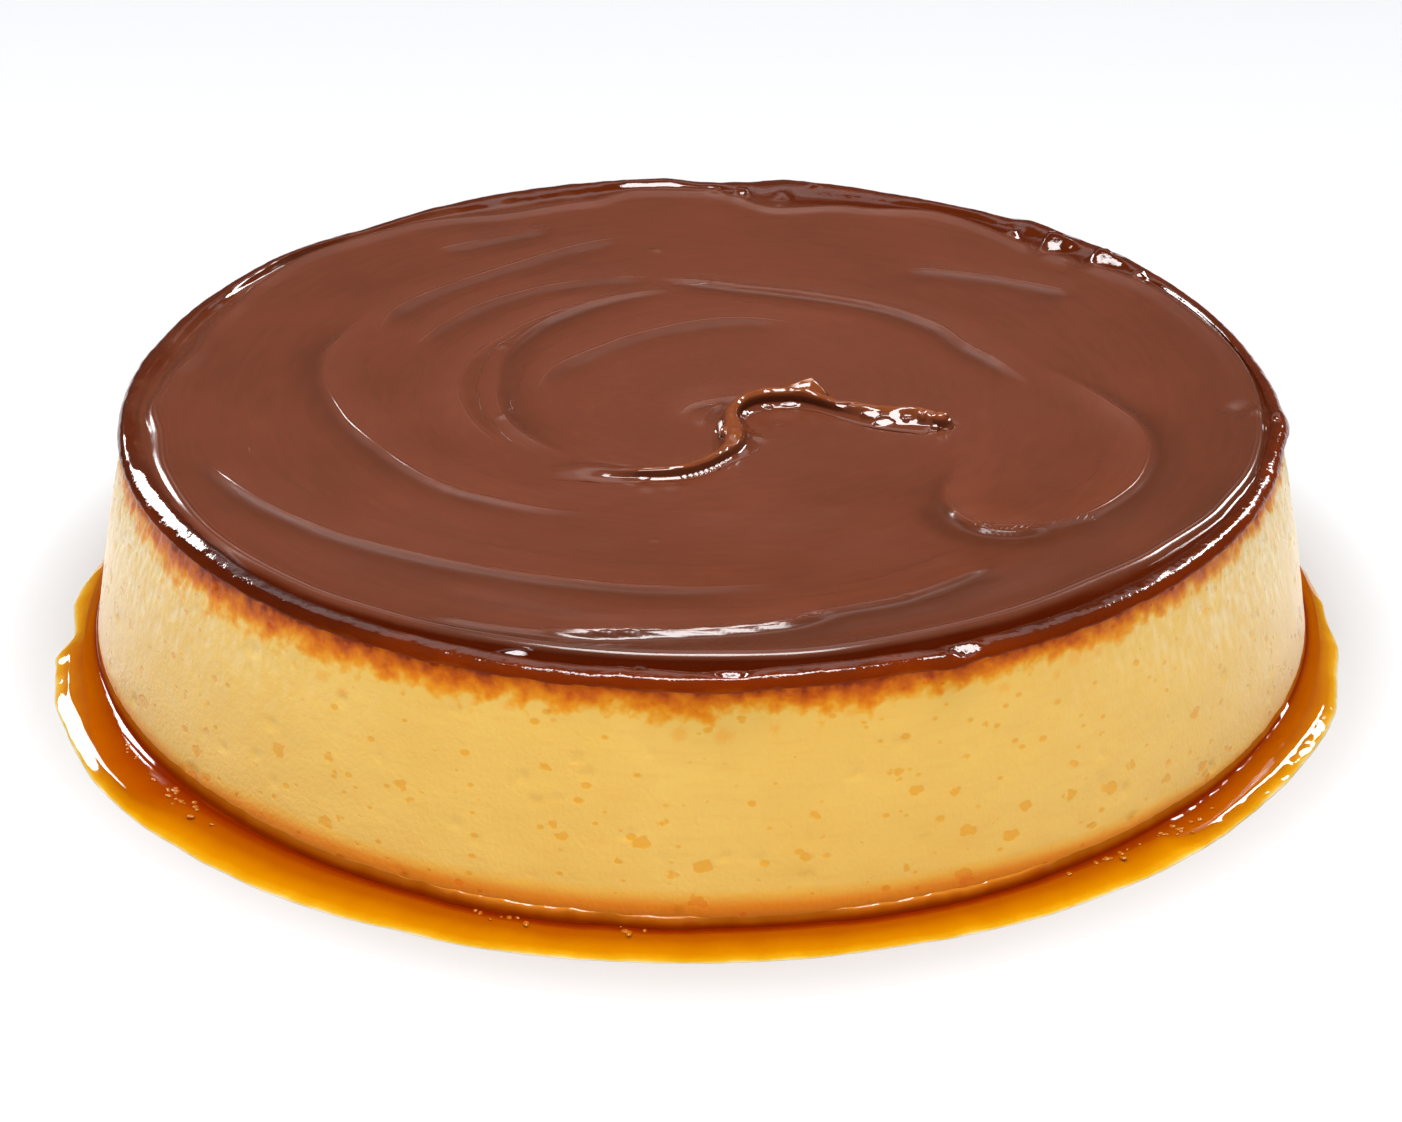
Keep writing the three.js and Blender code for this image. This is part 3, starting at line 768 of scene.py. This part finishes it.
# The curl's stations, from its left tip over the arch to the knob at its right: x, y, height, how
# far its back and its front reach, and how steep its front is.
CURL = [
    (-26.5, -34.4, 0, 2.4, 2.4, 0), (-23.5, -34, 0.25, 2.6, 3, 0), (-20, -33.9, 0.65, 2.6, 3, 0),
    (-15.4, -35.2, 1.2, 2.4, 2.2, 0.4), (-10.2, -36.4, 1.8, 2.2, 1, 0.9), (-5.8, -36.2, 2, 2.2, 0.85, 1),
    (-2.2, -35.2, 2.05, 2.3, 0.85, 1), (1.3, -32.5, 2.1, 2.3, 0.85, 1), (4, -29.3, 2.2, 2.4, 0.9, 1),
    (5.6, -26.3, 2.4, 2.5, 1.7, 0.85), (6.2, -23.2, 2.6, 2.6, 2.6, 0.5), (6.1, -20, 2.6, 2.6, 3.3, 0.25),
    (5.8, -16.6, 2.6, 2.3, 2, 0.75), (5.9, -13.2, 2.7, 2.1, 1.2, 1), (6.9, -9.9, 2.8, 2.1, 1.1, 1),
    (8.9, -7.2, 2.9, 2.1, 1.1, 1), (11.7, -5.7, 2.95, 2.1, 1.15, 1), (15, -5.2, 2.95, 2.2, 1.15, 1),
    (18.3, -5.4, 2.9, 2.2, 1.15, 1), (21.2, -6.8, 2.6, 2.1, 1.1, 1), (24.6, -9, 2.35, 2.1, 1.1, 0.9),
    (28.4, -10.2, 2.2, 2.1, 2.2, 0.5), (32, -11.4, 2.2, 2, 3.2, 0.1), (36, -12.5, 2.35, 1.9, 3.6, 0.05),
    (40, -13.1, 2.4, 1.7, 3.6, 0.2), (43, -14, 2, 1.5, 2.9, 0.6), (44.8, -15.4, 1.3, 1.2, 1.6, 0.6),
    (45.4, -16.4, 0, 0.8, 0.8, 0.5),
]
# The curl presses the sheet down under it. Round the lip, how much painted shade darkens it and how creased
# it is.
PRESS = 0.5
FACE_SHADE_AT = [
    (0, 0.2), (80, 0), (160, 0), (190, 0.05), (204, 0.2), (213, 0.6), (224, 0.9), (236, 0.8), (244, 0.3),
    (256, 0.15), (285, 0.1), (295, 0.2), (304, 0.5), (316, 0.4), (326, 0.4), (340, 0.1),
]
CREASE_AT = [(0, 0.6), (12, 0), (170, 0), (186, 1), (245, 1), (262, 0.4), (285, 0.5), (300, 1), (350, 1)]
curl_line = curve_through(CURL, 1400)
curl_line[:, 2:5] = np.maximum(curl_line[:, 2:5], (0, 0.4, 0.4))
curl_line[:, 5] = np.clip(curl_line[:, 5], 0, 1)
near, share, right = beside(points[:, :2], curl_line[:, :2], 5.5)
at = (share * (len(curl_line) - 1)).round().astype(int)
behind, before = -right / curl_line[at, 3], right / curl_line[at, 4]
under_curl = smooth_step(-behind, -1.5, -1.1) * smooth_step(-before, -1.5, -1.1)
points[near, 2] -= PRESS * under_curl * smooth_step(curl_line[at, 2], 0.3, 1.0) * on_top[near]
move_points(glaze, points)
paint(glaze, "edge", edge * around(CLEAR_AT, angle))
# The cream is painted lighter round the middle and to its back right, and darker towards the front and the
# right, as painted light and shade.
BROAD_PAINTED_LIGHT = 0.34
lit_middle = np.exp(-((points[:, 0] - 18) ** 2 + (points[:, 1] - 18) ** 2) / 52**2)
to_front = smooth_step(0.5 * points[:, 0] - points[:, 1], 30, 100)
shaded_front = to_front + smooth_step(points[:, 0], 76, 94)
painted_light_sum = painted_light + BROAD_PAINTED_LIGHT * lit_middle - BROAD_PAINTED_LIGHT * shaded_front
paint(glaze, "painted_light", np.clip(painted_light_sum * on_top, -1, 1))
paint(glaze, "crest", crest)
paint(glaze, "from_ring", from_ring)
# Painted shade in the dip, strongest at the front.
sunk = sunk * on_top * around(DIP_SHADE_AT, angle)
paint(glaze, "sunk", sunk)
paint(glaze, "wet", smooth_step(edge, 0.02, 0.2))
# The lip's shaded face, the thin cream at the front and the dip painted in shade mirror less.
FULL_GLOSS = 0.5
shade = 0.38 * smooth_step(down_face, 0.45, 0.8) * (radius > 104)
near_front = to_front * (1 - smooth_step(radius, 84, 89))
gloss = FULL_GLOSS - shade - 0.36 * near_front - FULL_GLOSS * smooth_step(sunk, 0.25, 0.5)
paint(glaze, "gloss", np.maximum(gloss, FULL_GLOSS * smooth_step(in_flat, 0.5, 0.8)))
# Painted shade on the lip outside the ring, darkest to the front left and the front right, less on its lower
# face.
painted_face_shade = around(FACE_SHADE_AT, angle) * smooth_step(outward, 0.25, 0.45)
paint(glaze, "painted_face_shade", painted_face_shade * (1 - 0.35 * down_face))
paint(glaze, "crease", around(CREASE_AT, angle))
paint(glaze, "swirl", np.column_stack([np.cos(angle) * 9, np.sin(angle) * 9, radius / 1.3]))

spread, tree, shader = new_material("milk_caramel_spread")
# Cooked milk and sugar: an opaque red brown cream under a smooth wet skin. Faint streaks follow
# the spoon, and the thin lip is a clear red amber.
place = object_place(tree)
streaks = clouds(tree, painted(tree, "swirl", "Vector"), 0.8, 5.0)
patches = clouds(tree, place, 38.0, 4.0)
mottled = calculate(tree, "MULTIPLY_ADD", streaks, 0.6, patches)
mottled = remap(tree, mottled, (0.55, 1.05))
body = mixed(tree, mottled, srgb("5b2d1b"), srgb("663320"))
# Painted light and shade on the cream: lighter behind each ridge, round the middle and to the back right,
# darker before each ridge, towards the front and at the right.
lightness = painted(tree, "painted_light")
painted_sheen = remap(tree, lightness, (0.0, 1.0), (0.0, 0.5))
painted_ridge_shade = remap(tree, lightness, (0.0, -1.0), (0.0, 0.6))
body = mixed(tree, painted_sheen, body, srgb("784230"))
body = mixed(tree, painted_ridge_shade, body, srgb("44200f"))
# Outward over the lip it turns clear, from the cream's brown through dark red to amber.
to_edge = painted(tree, "edge")
shifted = remap(tree, clouds(tree, place, 110.0, 3.0), (0.3, 0.7), (-0.1, 0.1))
shifted = calculate(tree, "ADD", to_edge, shifted)
lip = ramp(tree, shifted, [
    (0.05, "5c2e1b"), (0.2, "4e1c06"), (0.4, "501c04"), (0.6, "682606"), (0.75, "722602"), (0.9, "7a2800"),
    (1, "8a3802"),
])
thinned = remap(tree, to_edge, (0.02, 0.22), eased=True)
colour = mixed(tree, thinned, body, lip)
# Painted shade: the dip behind the lip is painted nearly black red.
painted_dip_shade = remap(tree, painted(tree, "sunk"), (0.25, 0.8), (0.0, 0.9))
colour = mixed(tree, painted_dip_shade, colour, srgb("3a0c01"))
# Painted shade: the lip and the curl's face under its arch are painted nearly black in places.
colour = mixed(tree, painted(tree, "painted_face_shade"), colour, srgb("340c02"))
# Painted glow: the thin upper parts of the curl are painted a warm orange brown, for the light that passes
# through them.
painted_glow = painted(tree, "painted_glow")
colour = mixed(tree, painted_glow, colour, srgb("84441f"))
# The blade-thin fin is painted paler still, a painted glow of the light through it.
painted_fin_glow = remap(tree, painted_glow, (0.66, 0.86), (0.0, 0.9))
colour = mixed(tree, painted_fin_glow, colour, srgb("c49880"))
# The skin's relief, in millimetres: spoon streaks 1.6 mm wide, and two creases on the ring.
ring_distance = painted(tree, "from_ring")
crease_depth = painted(tree, "crease")
relief = calculate(tree, "MULTIPLY", streaks, 0.035)
for offset, depth in ((0.0, 0.07), (-0.9, 0.05)):
    apart = calculate(tree, "ABSOLUTE", calculate(tree, "SUBTRACT", ring_distance, offset))
    line = remap(tree, apart, (0.45, 0.0), eased=True)
    line = calculate(tree, "MULTIPLY", line, crease_depth)
    relief = calculate(tree, "MULTIPLY_ADD", line, -depth, relief)
# Each spoon mark has a lifted hair of cream along its crest, 0.8 mm wide and 0.09 mm high, which
# breaks off in places.
mark = add_node(tree, "ShaderNodeSeparateXYZ", {"Vector": painted(tree, "crest", "Vector")})
apart = calculate(tree, "ABSOLUTE", mark.outputs["X"])
line = remap(tree, apart, (0.4, 0.0), eased=True)
broken = remap(tree, patches, (0.35, 0.5))
line = calculate(tree, "MULTIPLY", line, mark.outputs["Y"])
line = calculate(tree, "MULTIPLY", line, broken)
relief = calculate(tree, "MULTIPLY_ADD", line, 0.09, relief)
# Fine puckers 1.4 mm wide break the lip's shine, and stand as beads along its bottom.
puckers = clouds(tree, place, 700.0, 3.0)
beaded = remap(tree, to_edge, (0.1, 0.9), (0.0, 0.2))
relief = calculate(tree, "MULTIPLY_ADD", puckers, beaded, relief)
bump = add_node(tree, "ShaderNodeBump", {"Height": relief, "Strength": 1.0, "Distance": MM})
smoothness = remap(tree, painted(tree, "wet"), (0.0, 1.0), (0.18, 0.06))
set_inputs(shader, {
    "Base Color": colour, "Normal": bump, "Roughness": smoothness, "IOR": 1.48,
    "Specular IOR Level": painted(tree, "gloss"),
    "Subsurface Weight": 0.15, "Subsurface Radius": (1.0, 0.35, 0.1), "Subsurface Scale": 1.2 * MM,
})
glaze.data.materials.append(spread)
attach(glaze, "root")
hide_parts("caramel_glaze")

# ---------------------------------------------------------------- curl
# The strand that the spoon drew up as it left: the same caramel, folded over itself so that its
# front is steep. It has a crisp foot, a thin peak behind its arch, drips in its bend, and ends in
# a small ring and a knob.
BACK_PROFILE = [
    (-1.6, 0), (-1.3, 0.02), (-1.08, 0.12), (-0.9, 0.36), (-0.74, 0.66), (-0.56, 0.86), (-0.3, 0.97),
    (0, 1),
]
STEEP_PROFILE = [
    (0, 1), (0.1, 0.985), (0.55, 0.87), (0.64, 0.76), (0.72, 0.56), (0.79, 0.4), (0.86, 0.25),
    (1.35, 0.115), (1.7, 0.045), (2.2, 0),
]
GENTLE_PROFILE = [
    (0, 1), (0.06, 0.985), (0.16, 0.93), (0.34, 0.77), (0.52, 0.6), (0.7, 0.43), (0.88, 0.26), (1, 0.15),
    (1.15, 0.05), (1.4, 0),
]
# Of the way round its section, how much is hidden floor at either end, and how much of the rest
# is its back. Its floor lies sunk in the sheet, and its foot stands a hair proud of it.
FLOOR_SHARE = 0.06
BACK_SHARE = 0.4
SUNK = 0.45
PROUD = 0.03
# Beads and pits that swell out of it or sink into it: their middle, above the glaze's top, and
# their half sizes. A middle above the surface presses the surface down.
BEADS = [
    (5.8, -28.8, 2.2, 0.8, 0.7, 0.7), (4.1, -20.6, 1.3, 1.1, 1.6, 1.1), (33.4, -13.8, 1, 1.3, 0.6, 0.6),
    (37.6, -14.6, 2.6, 1.9, 1.2, 1.3), (37.4, -14.9, 0.9, 0.7, 0.6, 0.7),
    (40.4, -14.6, 1.2, 0.8, 1.2, 1.3), (43.7, -15, 1.2, 1.7, 1.4, 1.4),
]
# Ramps of thick sauce that lie against it, each a flat that faces a little forward.
RAMPS = [
    (-10.2, -37, 0.45, 1.3, 0.8), (8.6, -27.4, 1.1, 0.5, 1.5), (7.4, -29.8, 0.7, 0.45, 1),
    (4.4, -33.2, 0.25, 1.3, 0.6), (3.2, -17.2, 0.9, 1.2, 1.8), (7.9, -10.4, 0.5, 0.8, 0.6),
    (12, -7.2, 0.45, 1.2, 0.4), (16.4, -6.7, 0.45, 1.4, 0.4), (25.6, -10.2, 1.6, 1.8, 0.5),
    (30.8, -13.2, 1.3, 2.2, 0.9), (33.2, -15.2, 0.6, 2, 0.8), (42.6, -16.9, 0.7, 1, 0.5),
    (45, -15.4, 1.4, 0.6, 0.5),
]
FOOT_PATH = [(-3, -36.5), (-1, -35.6), (0.6, -34.4), (2.1, -32.8), (3.6, -30.9), (5.0, -29.1)]
RAMPS += [(x, y, 0.38, 0.62, 0.42) for x, y in curve_through(FOOT_PATH, 10)]
# The thin peak behind its arch is a flattened cone that leans back and to one side.
PEAK_PLACE = (19.9, -4.3, 45.9)
PEAK_HALF_WIDTH = 5.2
PEAK_HEIGHT = 4.6
PEAK_THINNESS = 0.24
PEAK_TILT = -math.radians(14)
PEAK_LEAN = math.radians(32)

bpy.ops.object.select_all(action="DESELECT")
bpy.ops.mesh.primitive_grid_add(x_subdivisions=860, y_subdivisions=70, size=2)
curl = bpy.context.object
curl.name = curl.data.name = "glaze_curl"
grid = points_of(curl) * MM
along = (((grid[:, 0] + 1) / 2) * (len(curl_line) - 1)).round().astype(int)
round_it = (grid[:, 1] + 1) / 2
stations = curl_line[along]
ahead = np.gradient(curl_line[:, :2], axis=0)
ahead = (ahead / np.linalg.norm(ahead, axis=1)[:, None])[along]
over = np.clip((round_it - FLOOR_SHARE) / (1 - 2 * FLOOR_SHARE), 0, 1)
behind = curve_through(BACK_PROFILE, 400)[(np.minimum(over / BACK_SHARE, 1) * 399).round().astype(int)]
to_front = (np.clip((over - BACK_SHARE) / (1 - BACK_SHARE), 0, 1) * 399).round().astype(int)
steep, gentle = curve_through(STEEP_PROFILE, 400)[to_front], curve_through(GENTLE_PROFILE, 400)[to_front]
front = gentle + (steep - gentle) * stations[:, 5:6]
in_front = over > BACK_SHARE
across = np.where(in_front, front[:, 0] * stations[:, 4], behind[:, 0] * stations[:, 3])
rise = np.where(in_front, front[:, 1], behind[:, 1])
below = (round_it < FLOOR_SHARE - 1e-6) | (round_it > 1 - FLOOR_SHARE + 1e-6)
inset = (1 - np.abs(2 * round_it - 1)) / (2 * FLOOR_SHARE)
across = across * np.where(below, inset, 1)
wander = 1 + 0.1 * rough(along / 60, over * 2.5, 0.5)
spots = stations[:, :2] + np.column_stack([ahead[:, 1], -ahead[:, 0]]) * across[:, None]
height = rise * stations[:, 2] * wander
skin = np.column_stack([spots, height])
for x, y, z, *half in BEADS:
    out = (skin - (x, y, z)) / half
    reach = np.linalg.norm(out, axis=1)
    near = (reach < 2.5) & ~below
    swell = (reach[near] ** 4 + 1) ** 0.25 / np.maximum(reach[near], 0.05)
    skin[near] = (x, y, z) + out[near] * swell[:, None] * half
for x, y, z, half_x, half_y in RAMPS:
    reach = np.linalg.norm((skin - (x, y, z)) / (half_x, half_y, 0.9), axis=1)
    share = np.where(below, 0, 1 - smooth_step(reach, 0.75, 1.25))
    skin[:, 2] += share * (z + FLAT_SLOPE * (skin[:, 1] - y) - skin[:, 2])
skin[:, 2] = np.maximum(skin[:, 2], 0)
skin[:, 2] += GLAZE_TOP + spread_relief(skin[:, :2]) + np.where(below, -SUNK, PROUD)
move_points(curl, skin)
clean_up(0.01 * MM)

bpy.ops.object.select_all(action="DESELECT")
bpy.ops.mesh.primitive_cone_add(
    vertices=40, radius1=PEAK_HALF_WIDTH * MM, radius2=0.2 * MM, depth=PEAK_HEIGHT * MM
)
peak = bpy.context.object
bpy.ops.object.mode_set(mode="EDIT")
bpy.ops.mesh.select_all(action="SELECT")
bpy.ops.transform.resize(value=(1.0, PEAK_THINNESS, 1.0))
bpy.ops.transform.rotate(value=PEAK_TILT, orient_axis="Y", center_override=(0, 0, 0))
bpy.ops.transform.rotate(value=PEAK_LEAN, orient_axis="X", center_override=(0, 0, 0))
bpy.ops.transform.translate(value=Vector(PEAK_PLACE) * MM)
bpy.ops.mesh.subdivide(number_cuts=5, smoothness=0.6)
bpy.ops.object.mode_set(mode="OBJECT")
curl = joined([peak, curl])
bpy.ops.object.shade_smooth_by_angle(angle=math.radians(65))
spots = points_of(curl)
paint(curl, "edge", 0.06 * smooth_step(spots[:, 2], GLAZE_TOP, GLAZE_TOP + 1))
rise = spots[:, 2] - GLAZE_TOP
tail = smooth_step(spots[:, 0], -22, -12)
# Painted glow on the curl's upper parts, strongest on its fin at the top.
paint(curl, "painted_glow", 0.6 * smooth_step(rise, 1.2, 2.3) + 0.3 * smooth_step(rise, 3.3, 3.9))
# Painted shade on the curl's lower face, strongest under its arch and none at the tip of its tail.
shaded = 0.12 + 0.63 * smooth_step(spots[:, 1], -14, -10) * (1 - smooth_step(spots[:, 0], 22, 28))
paint(curl, "painted_face_shade", shaded * tail * smooth_step(rise, 0.2, 0.6) * (1 - smooth_step(rise, 1.4, 2.2)))
paint(curl, "gloss", np.full(len(spots), FULL_GLOSS))
paint(curl, "wet", tail)
curl.data.materials.append(spread)
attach(curl, "root")
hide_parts("caramel_glaze")

# ---------------------------------------------------------------- syrup
# Thin burnt-sugar syrup that ran out of the pan with the flan. It lies in a shallow pool that
# wets the table at the front and ends in a bead at the two sides, and it coats the foot of the
# custard in a thin film with a small ledge on top.
SYRUP_STEPS = 900
SKIN_COUNT = 46
# Round the flan: the pool's edge, its depth and its climb up the wall, the ledge that tops it,
# the fillet at the wall's foot, how torn its skin is, how much lighter it looks, its bead and that
# bead's height, and how much it mirrors.
POOL_EDGE_AT = [
    (10, 117.6), (40, 119.5), (75, 118.1), (110, 120.1), (150, 118.5), (172, 118.3), (181, 120.1),
    (187, 119.2), (192, 122.6), (200, 124.2), (215, 125.6), (232, 124.8), (250, 123.2), (270, 122.1),
    (285, 121.8), (300, 122.4), (312, 122.6), (325, 122.5), (337, 122.9), (348, 121.2), (357, 119.2),
]
POOL_DEPTH_AT = [(0, 1.4), (90, 1.5), (180, 1.4), (205, 1.6), (225, 1.8), (270, 1.6), (320, 1.6)]
POOL_CLIMB_AT = [
    (0, 3.4), (60, 3.2), (130, 3.4), (185, 3.8), (222, 4.6), (240, 4.2), (255, 4), (275, 3.6), (290, 3.9),
    (315, 4), (340, 3.6),
]
LEDGE_AT = [
    (0, 0.03), (180, 0.03), (246.5, 0.03), (250, 0.5), (254, 0.6), (260, 0.5), (262.5, 0.06), (266, 0.5),
    (269, 0.35), (271, 0.04), (280, 0.04), (283, 0.5), (291, 0.6), (298, 0.5), (302, 0.04),
]
FILLET_AT = [
    (0, 2.2), (90, 1.5), (180, 2), (200, 2.4), (212, 2.2), (222, 1), (235, 0.7), (300, 0.7), (314, 1.6),
    (335, 2.4),
]
TORN_AT = [(0, 0.1), (180, 0.05), (200, 0.08), (225, 0.02), (300, 0.04), (318, 1), (338, 1), (350, 0.2)]
LIGHTER_AT = [
    (0, 0.5), (90, 0.5), (180, 0.55), (198, 0.4), (212, 0.1), (222, -0.1), (238, 0), (300, 0.02),
    (316, 0.2), (330, 0.4),
]
BEAD_AT = [(0, 3.4), (90, 4), (178, 3), (190, 3), (216, 3.2), (223, 7), (308, 7), (316, 2.8), (340, 2.7)]
RIM_HEIGHT_AT = [(0, 0.4), (180, 0.4), (210, 0.4), (216, 0.1), (310, 0.1), (316, 0.35), (340, 0.4)]
GLOSS_AT = [(0, 0.5), (180, 0.5), (214, 0.5), (218, 0), (312, 0), (316, 0.5)]
# It mirrors only in two bands, by their places from the wall, 0, to the pool's edge, 1.
GLOSS_ACROSS = ([0.26, 0.28, 0.43, 0.45, 0.68, 0.7, 1], [0, 1, 1, 0, 0, 1, 1])
LEDGE_GLOSS = 0.45
LEDGE_ENDS = 0.075
TORN_STEP = 0.13

section = [(100 + 10 * share, 3) for share in np.linspace(0, 1, SKIN_COUNT)]
section += [(109.7, 0), (105, 0), (100, 0), section[0]]
syrup = spun("syrup_pool", section, SYRUP_STEPS)
angle, radius, height = polar(points_of(syrup))
on_skin = height > 1.5
outward = np.clip((radius - 100) / 10, 0, 1)

# Its section's stations are worked out for every step round: radius, height and shade of depth.
turn = np.arange(SYRUP_STEPS) * 2 * math.pi / SYRUP_STEPS
depth, climb, film = (around(stations, turn) for stations in (POOL_DEPTH_AT, POOL_CLIMB_AT, LEDGE_AT))
climb = climb + 0.25 * rough_round(turn, 30, 3.1)
film = film * (1 + 0.18 * rough_round(turn, 60, 1.7))
fillet, bead = around(FILLET_AT, turn), around(BEAD_AT, turn)
rim = around(POOL_EDGE_AT, turn) + 0.2 * rough_round(turn, 16, 0.2)
foot = wall_radius(depth, turn) + film
bead = np.minimum(bead, 0.85 * (rim - foot - fillet))
flat = rim - bead - foot - fillet
brink = around(RIM_HEIGHT_AT, turn)
wall = wall_radius(climb, turn)
rows = [
    (wall - 0.35, climb + 0.1, 0.0), (wall + 0.1 * film, climb, 0.02),
    (wall + 0.8 * film, climb - 0.43 * film, 0.06), (wall_radius(climb - 0.8, turn) + film, climb - 0.8, 0.1),
    (foot + 0.05 * fillet, depth + 0.42 * fillet, 0.24), (foot + 0.5 * fillet, depth + 0.2 * fillet, 0.31),
    (foot + fillet, depth + 0.02, 0.4), (foot + fillet + 0.5 * flat, depth - 0.03, 0.52),
    (rim - bead, depth - 0.08, 0.64), (rim - 0.6 * bead, brink + 0.57 * (depth - 0.08 - brink), 0.78),
    (rim - 0.12 * bead, brink, 0.93), (rim, 0.04 + 0 * rim, 1.0),
]
rows = np.array([np.broadcast_arrays(*row) for row in rows])
shape = curve_through(rows.reshape(len(rows), -1), SKIN_COUNT).reshape(SKIN_COUNT, 3, SYRUP_STEPS)
step = np.round(angle / (2 * math.pi) * SYRUP_STEPS).astype(int) % SYRUP_STEPS
radius, height, share = shape[(outward * (SKIN_COUNT - 1)).round().astype(int), :, step].T
radius = np.where(on_skin, radius, foot[step] - 0.6 + outward * (rim - foot + 0.6)[step])
# Its skin is torn into small steps at the right, where it had begun to set.
banded = np.interp(share, *GLOSS_ACROSS)
torn = on_skin * (1 - smooth_step(share, 0.88, 0.96)) * around(TORN_AT, angle) * banded
steps = rough(angle * FOOT_RADIUS / 1.7, radius / 1.3, 0.4, 1)
height = np.where(on_skin, height, 0) + TORN_STEP * torn * steps
move_points(syrup, from_polar(angle, radius, height))
share = share + smooth_step(share, 0.2, 0.32) * (1 - share) * around(LIGHTER_AT, angle)
paint(syrup, "share", np.where(on_skin, share, 1))
ledge = LEDGE_GLOSS * smooth_step(film[step], 0.15, 0.3)
shine = around(GLOSS_AT, angle) * np.interp(share, *GLOSS_ACROSS)
paint(syrup, "gloss", np.where(share < LEDGE_ENDS, ledge, shine))

burnt_sugar, tree, shader = new_material("burnt_sugar_syrup")
# Clear sugar syrup: dark red amber where it is deep against the wall, orange towards its edge,
# and a thin pale amber where it climbs the custard. Its skin has the faintest ripple.
place = object_place(tree)
shares = painted(tree, "share")
shifted = calculate(tree, "MULTIPLY_ADD", clouds(tree, place, 120.0, 3.0), 0.1, shares)
shifted = calculate(tree, "SUBTRACT", shifted, 0.05)
amber = ramp(tree, shifted, [
    (0.02, "c87a20"), (0.1, "ae580a"), (0.17, "943800"), (0.25, "741e00"), (0.34, "7a2000"),
    (0.5, "8a3600"), (0.7, "9a4c00"), (0.86, "b87200"), (0.93, "cc9010"), (0.97, "dcb460"), (1, "f0dcb4"),
])
ripple = clouds(tree, place, 420.0, 3.0)
bump = add_node(tree, "ShaderNodeBump", {"Height": ripple, "Strength": 0.1, "Distance": 0.2 * MM})
set_inputs(shader, {
    "Base Color": amber, "Normal": bump, "Roughness": 0.05, "IOR": 1.48,
    "Specular IOR Level": painted(tree, "gloss"),
    "Subsurface Weight": 0.3, "Subsurface Radius": (1.0, 0.4, 0.05), "Subsurface Scale": 2.0 * MM,
})
syrup.data.materials.append(burnt_sugar)
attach(syrup, "root")
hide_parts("syrup")

# ---------------------------------------------------------------- bubbles
# Small bubbles and shreds of caramel skin that float on the syrup: low clear domes, 0.4 to 2 mm
# wide, gathered in a few rafts and set into the surface.
RAFTS = [
    (219, 117.6, 2.6, 1.6, 22), (211, 117, 1, 0.8, 5), (229, 112.6, 1.5, 1, 9), (254, 116, 2, 1, 12),
    (264.5, 115, 1.2, 1.6, 14), (285, 114, 0.8, 0.8, 6), (292, 113.6, 0.8, 0.8, 7),
    (305, 115.5, 2, 1.4, 12), (313, 117, 2, 2, 12), (28, 117, 3, 1, 8), (96, 116, 3, 1, 10),
    (148, 116, 3, 1, 8),
]
RAFT_SEED = 8
draw = np.random.default_rng(RAFT_SEED)
domes = []
bpy.ops.object.select_all(action="DESELECT")
for raft_angle, raft_radius, spread_angle, spread_radius, count in RAFTS:
    for _ in range(count):
        at = math.radians(raft_angle + draw.normal() * spread_angle)
        reach = raft_radius + draw.normal() * spread_radius * 0.6
        level = float(np.interp(at % (2 * math.pi), turn, depth))
        half = draw.uniform(0.22, 0.6) * MM
        bpy.ops.mesh.primitive_uv_sphere_add(segments=10, ring_count=6, radius=half)
        dome = bpy.context.object
        bpy.ops.object.mode_set(mode="EDIT")
        bpy.ops.transform.resize(value=(draw.uniform(0.8, 1.7), 1, 0.5))
        bpy.ops.transform.rotate(value=draw.uniform(0, math.pi), orient_axis="Z", center_override=(0, 0, 0))
        bpy.ops.transform.translate(value=Vector((reach * math.cos(at), reach * math.sin(at), level)) * MM)
        bpy.ops.object.mode_set(mode="OBJECT")
        domes.append(dome)
bubbles = joined(domes)
bubbles.name = bubbles.data.name = "syrup_bubbles"
bpy.ops.object.shade_smooth()

froth, tree, shader = new_material("caramel_froth")
# A thin skin of clear caramel round a bubble of air: paler than the syrup and just as wet.
set_inputs(shader, {"Base Color": srgb("a85c0c"), "Roughness": 0.08, "IOR": 1.45})
bubbles.data.materials.append(froth)
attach(bubbles, "root")
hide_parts("syrup")
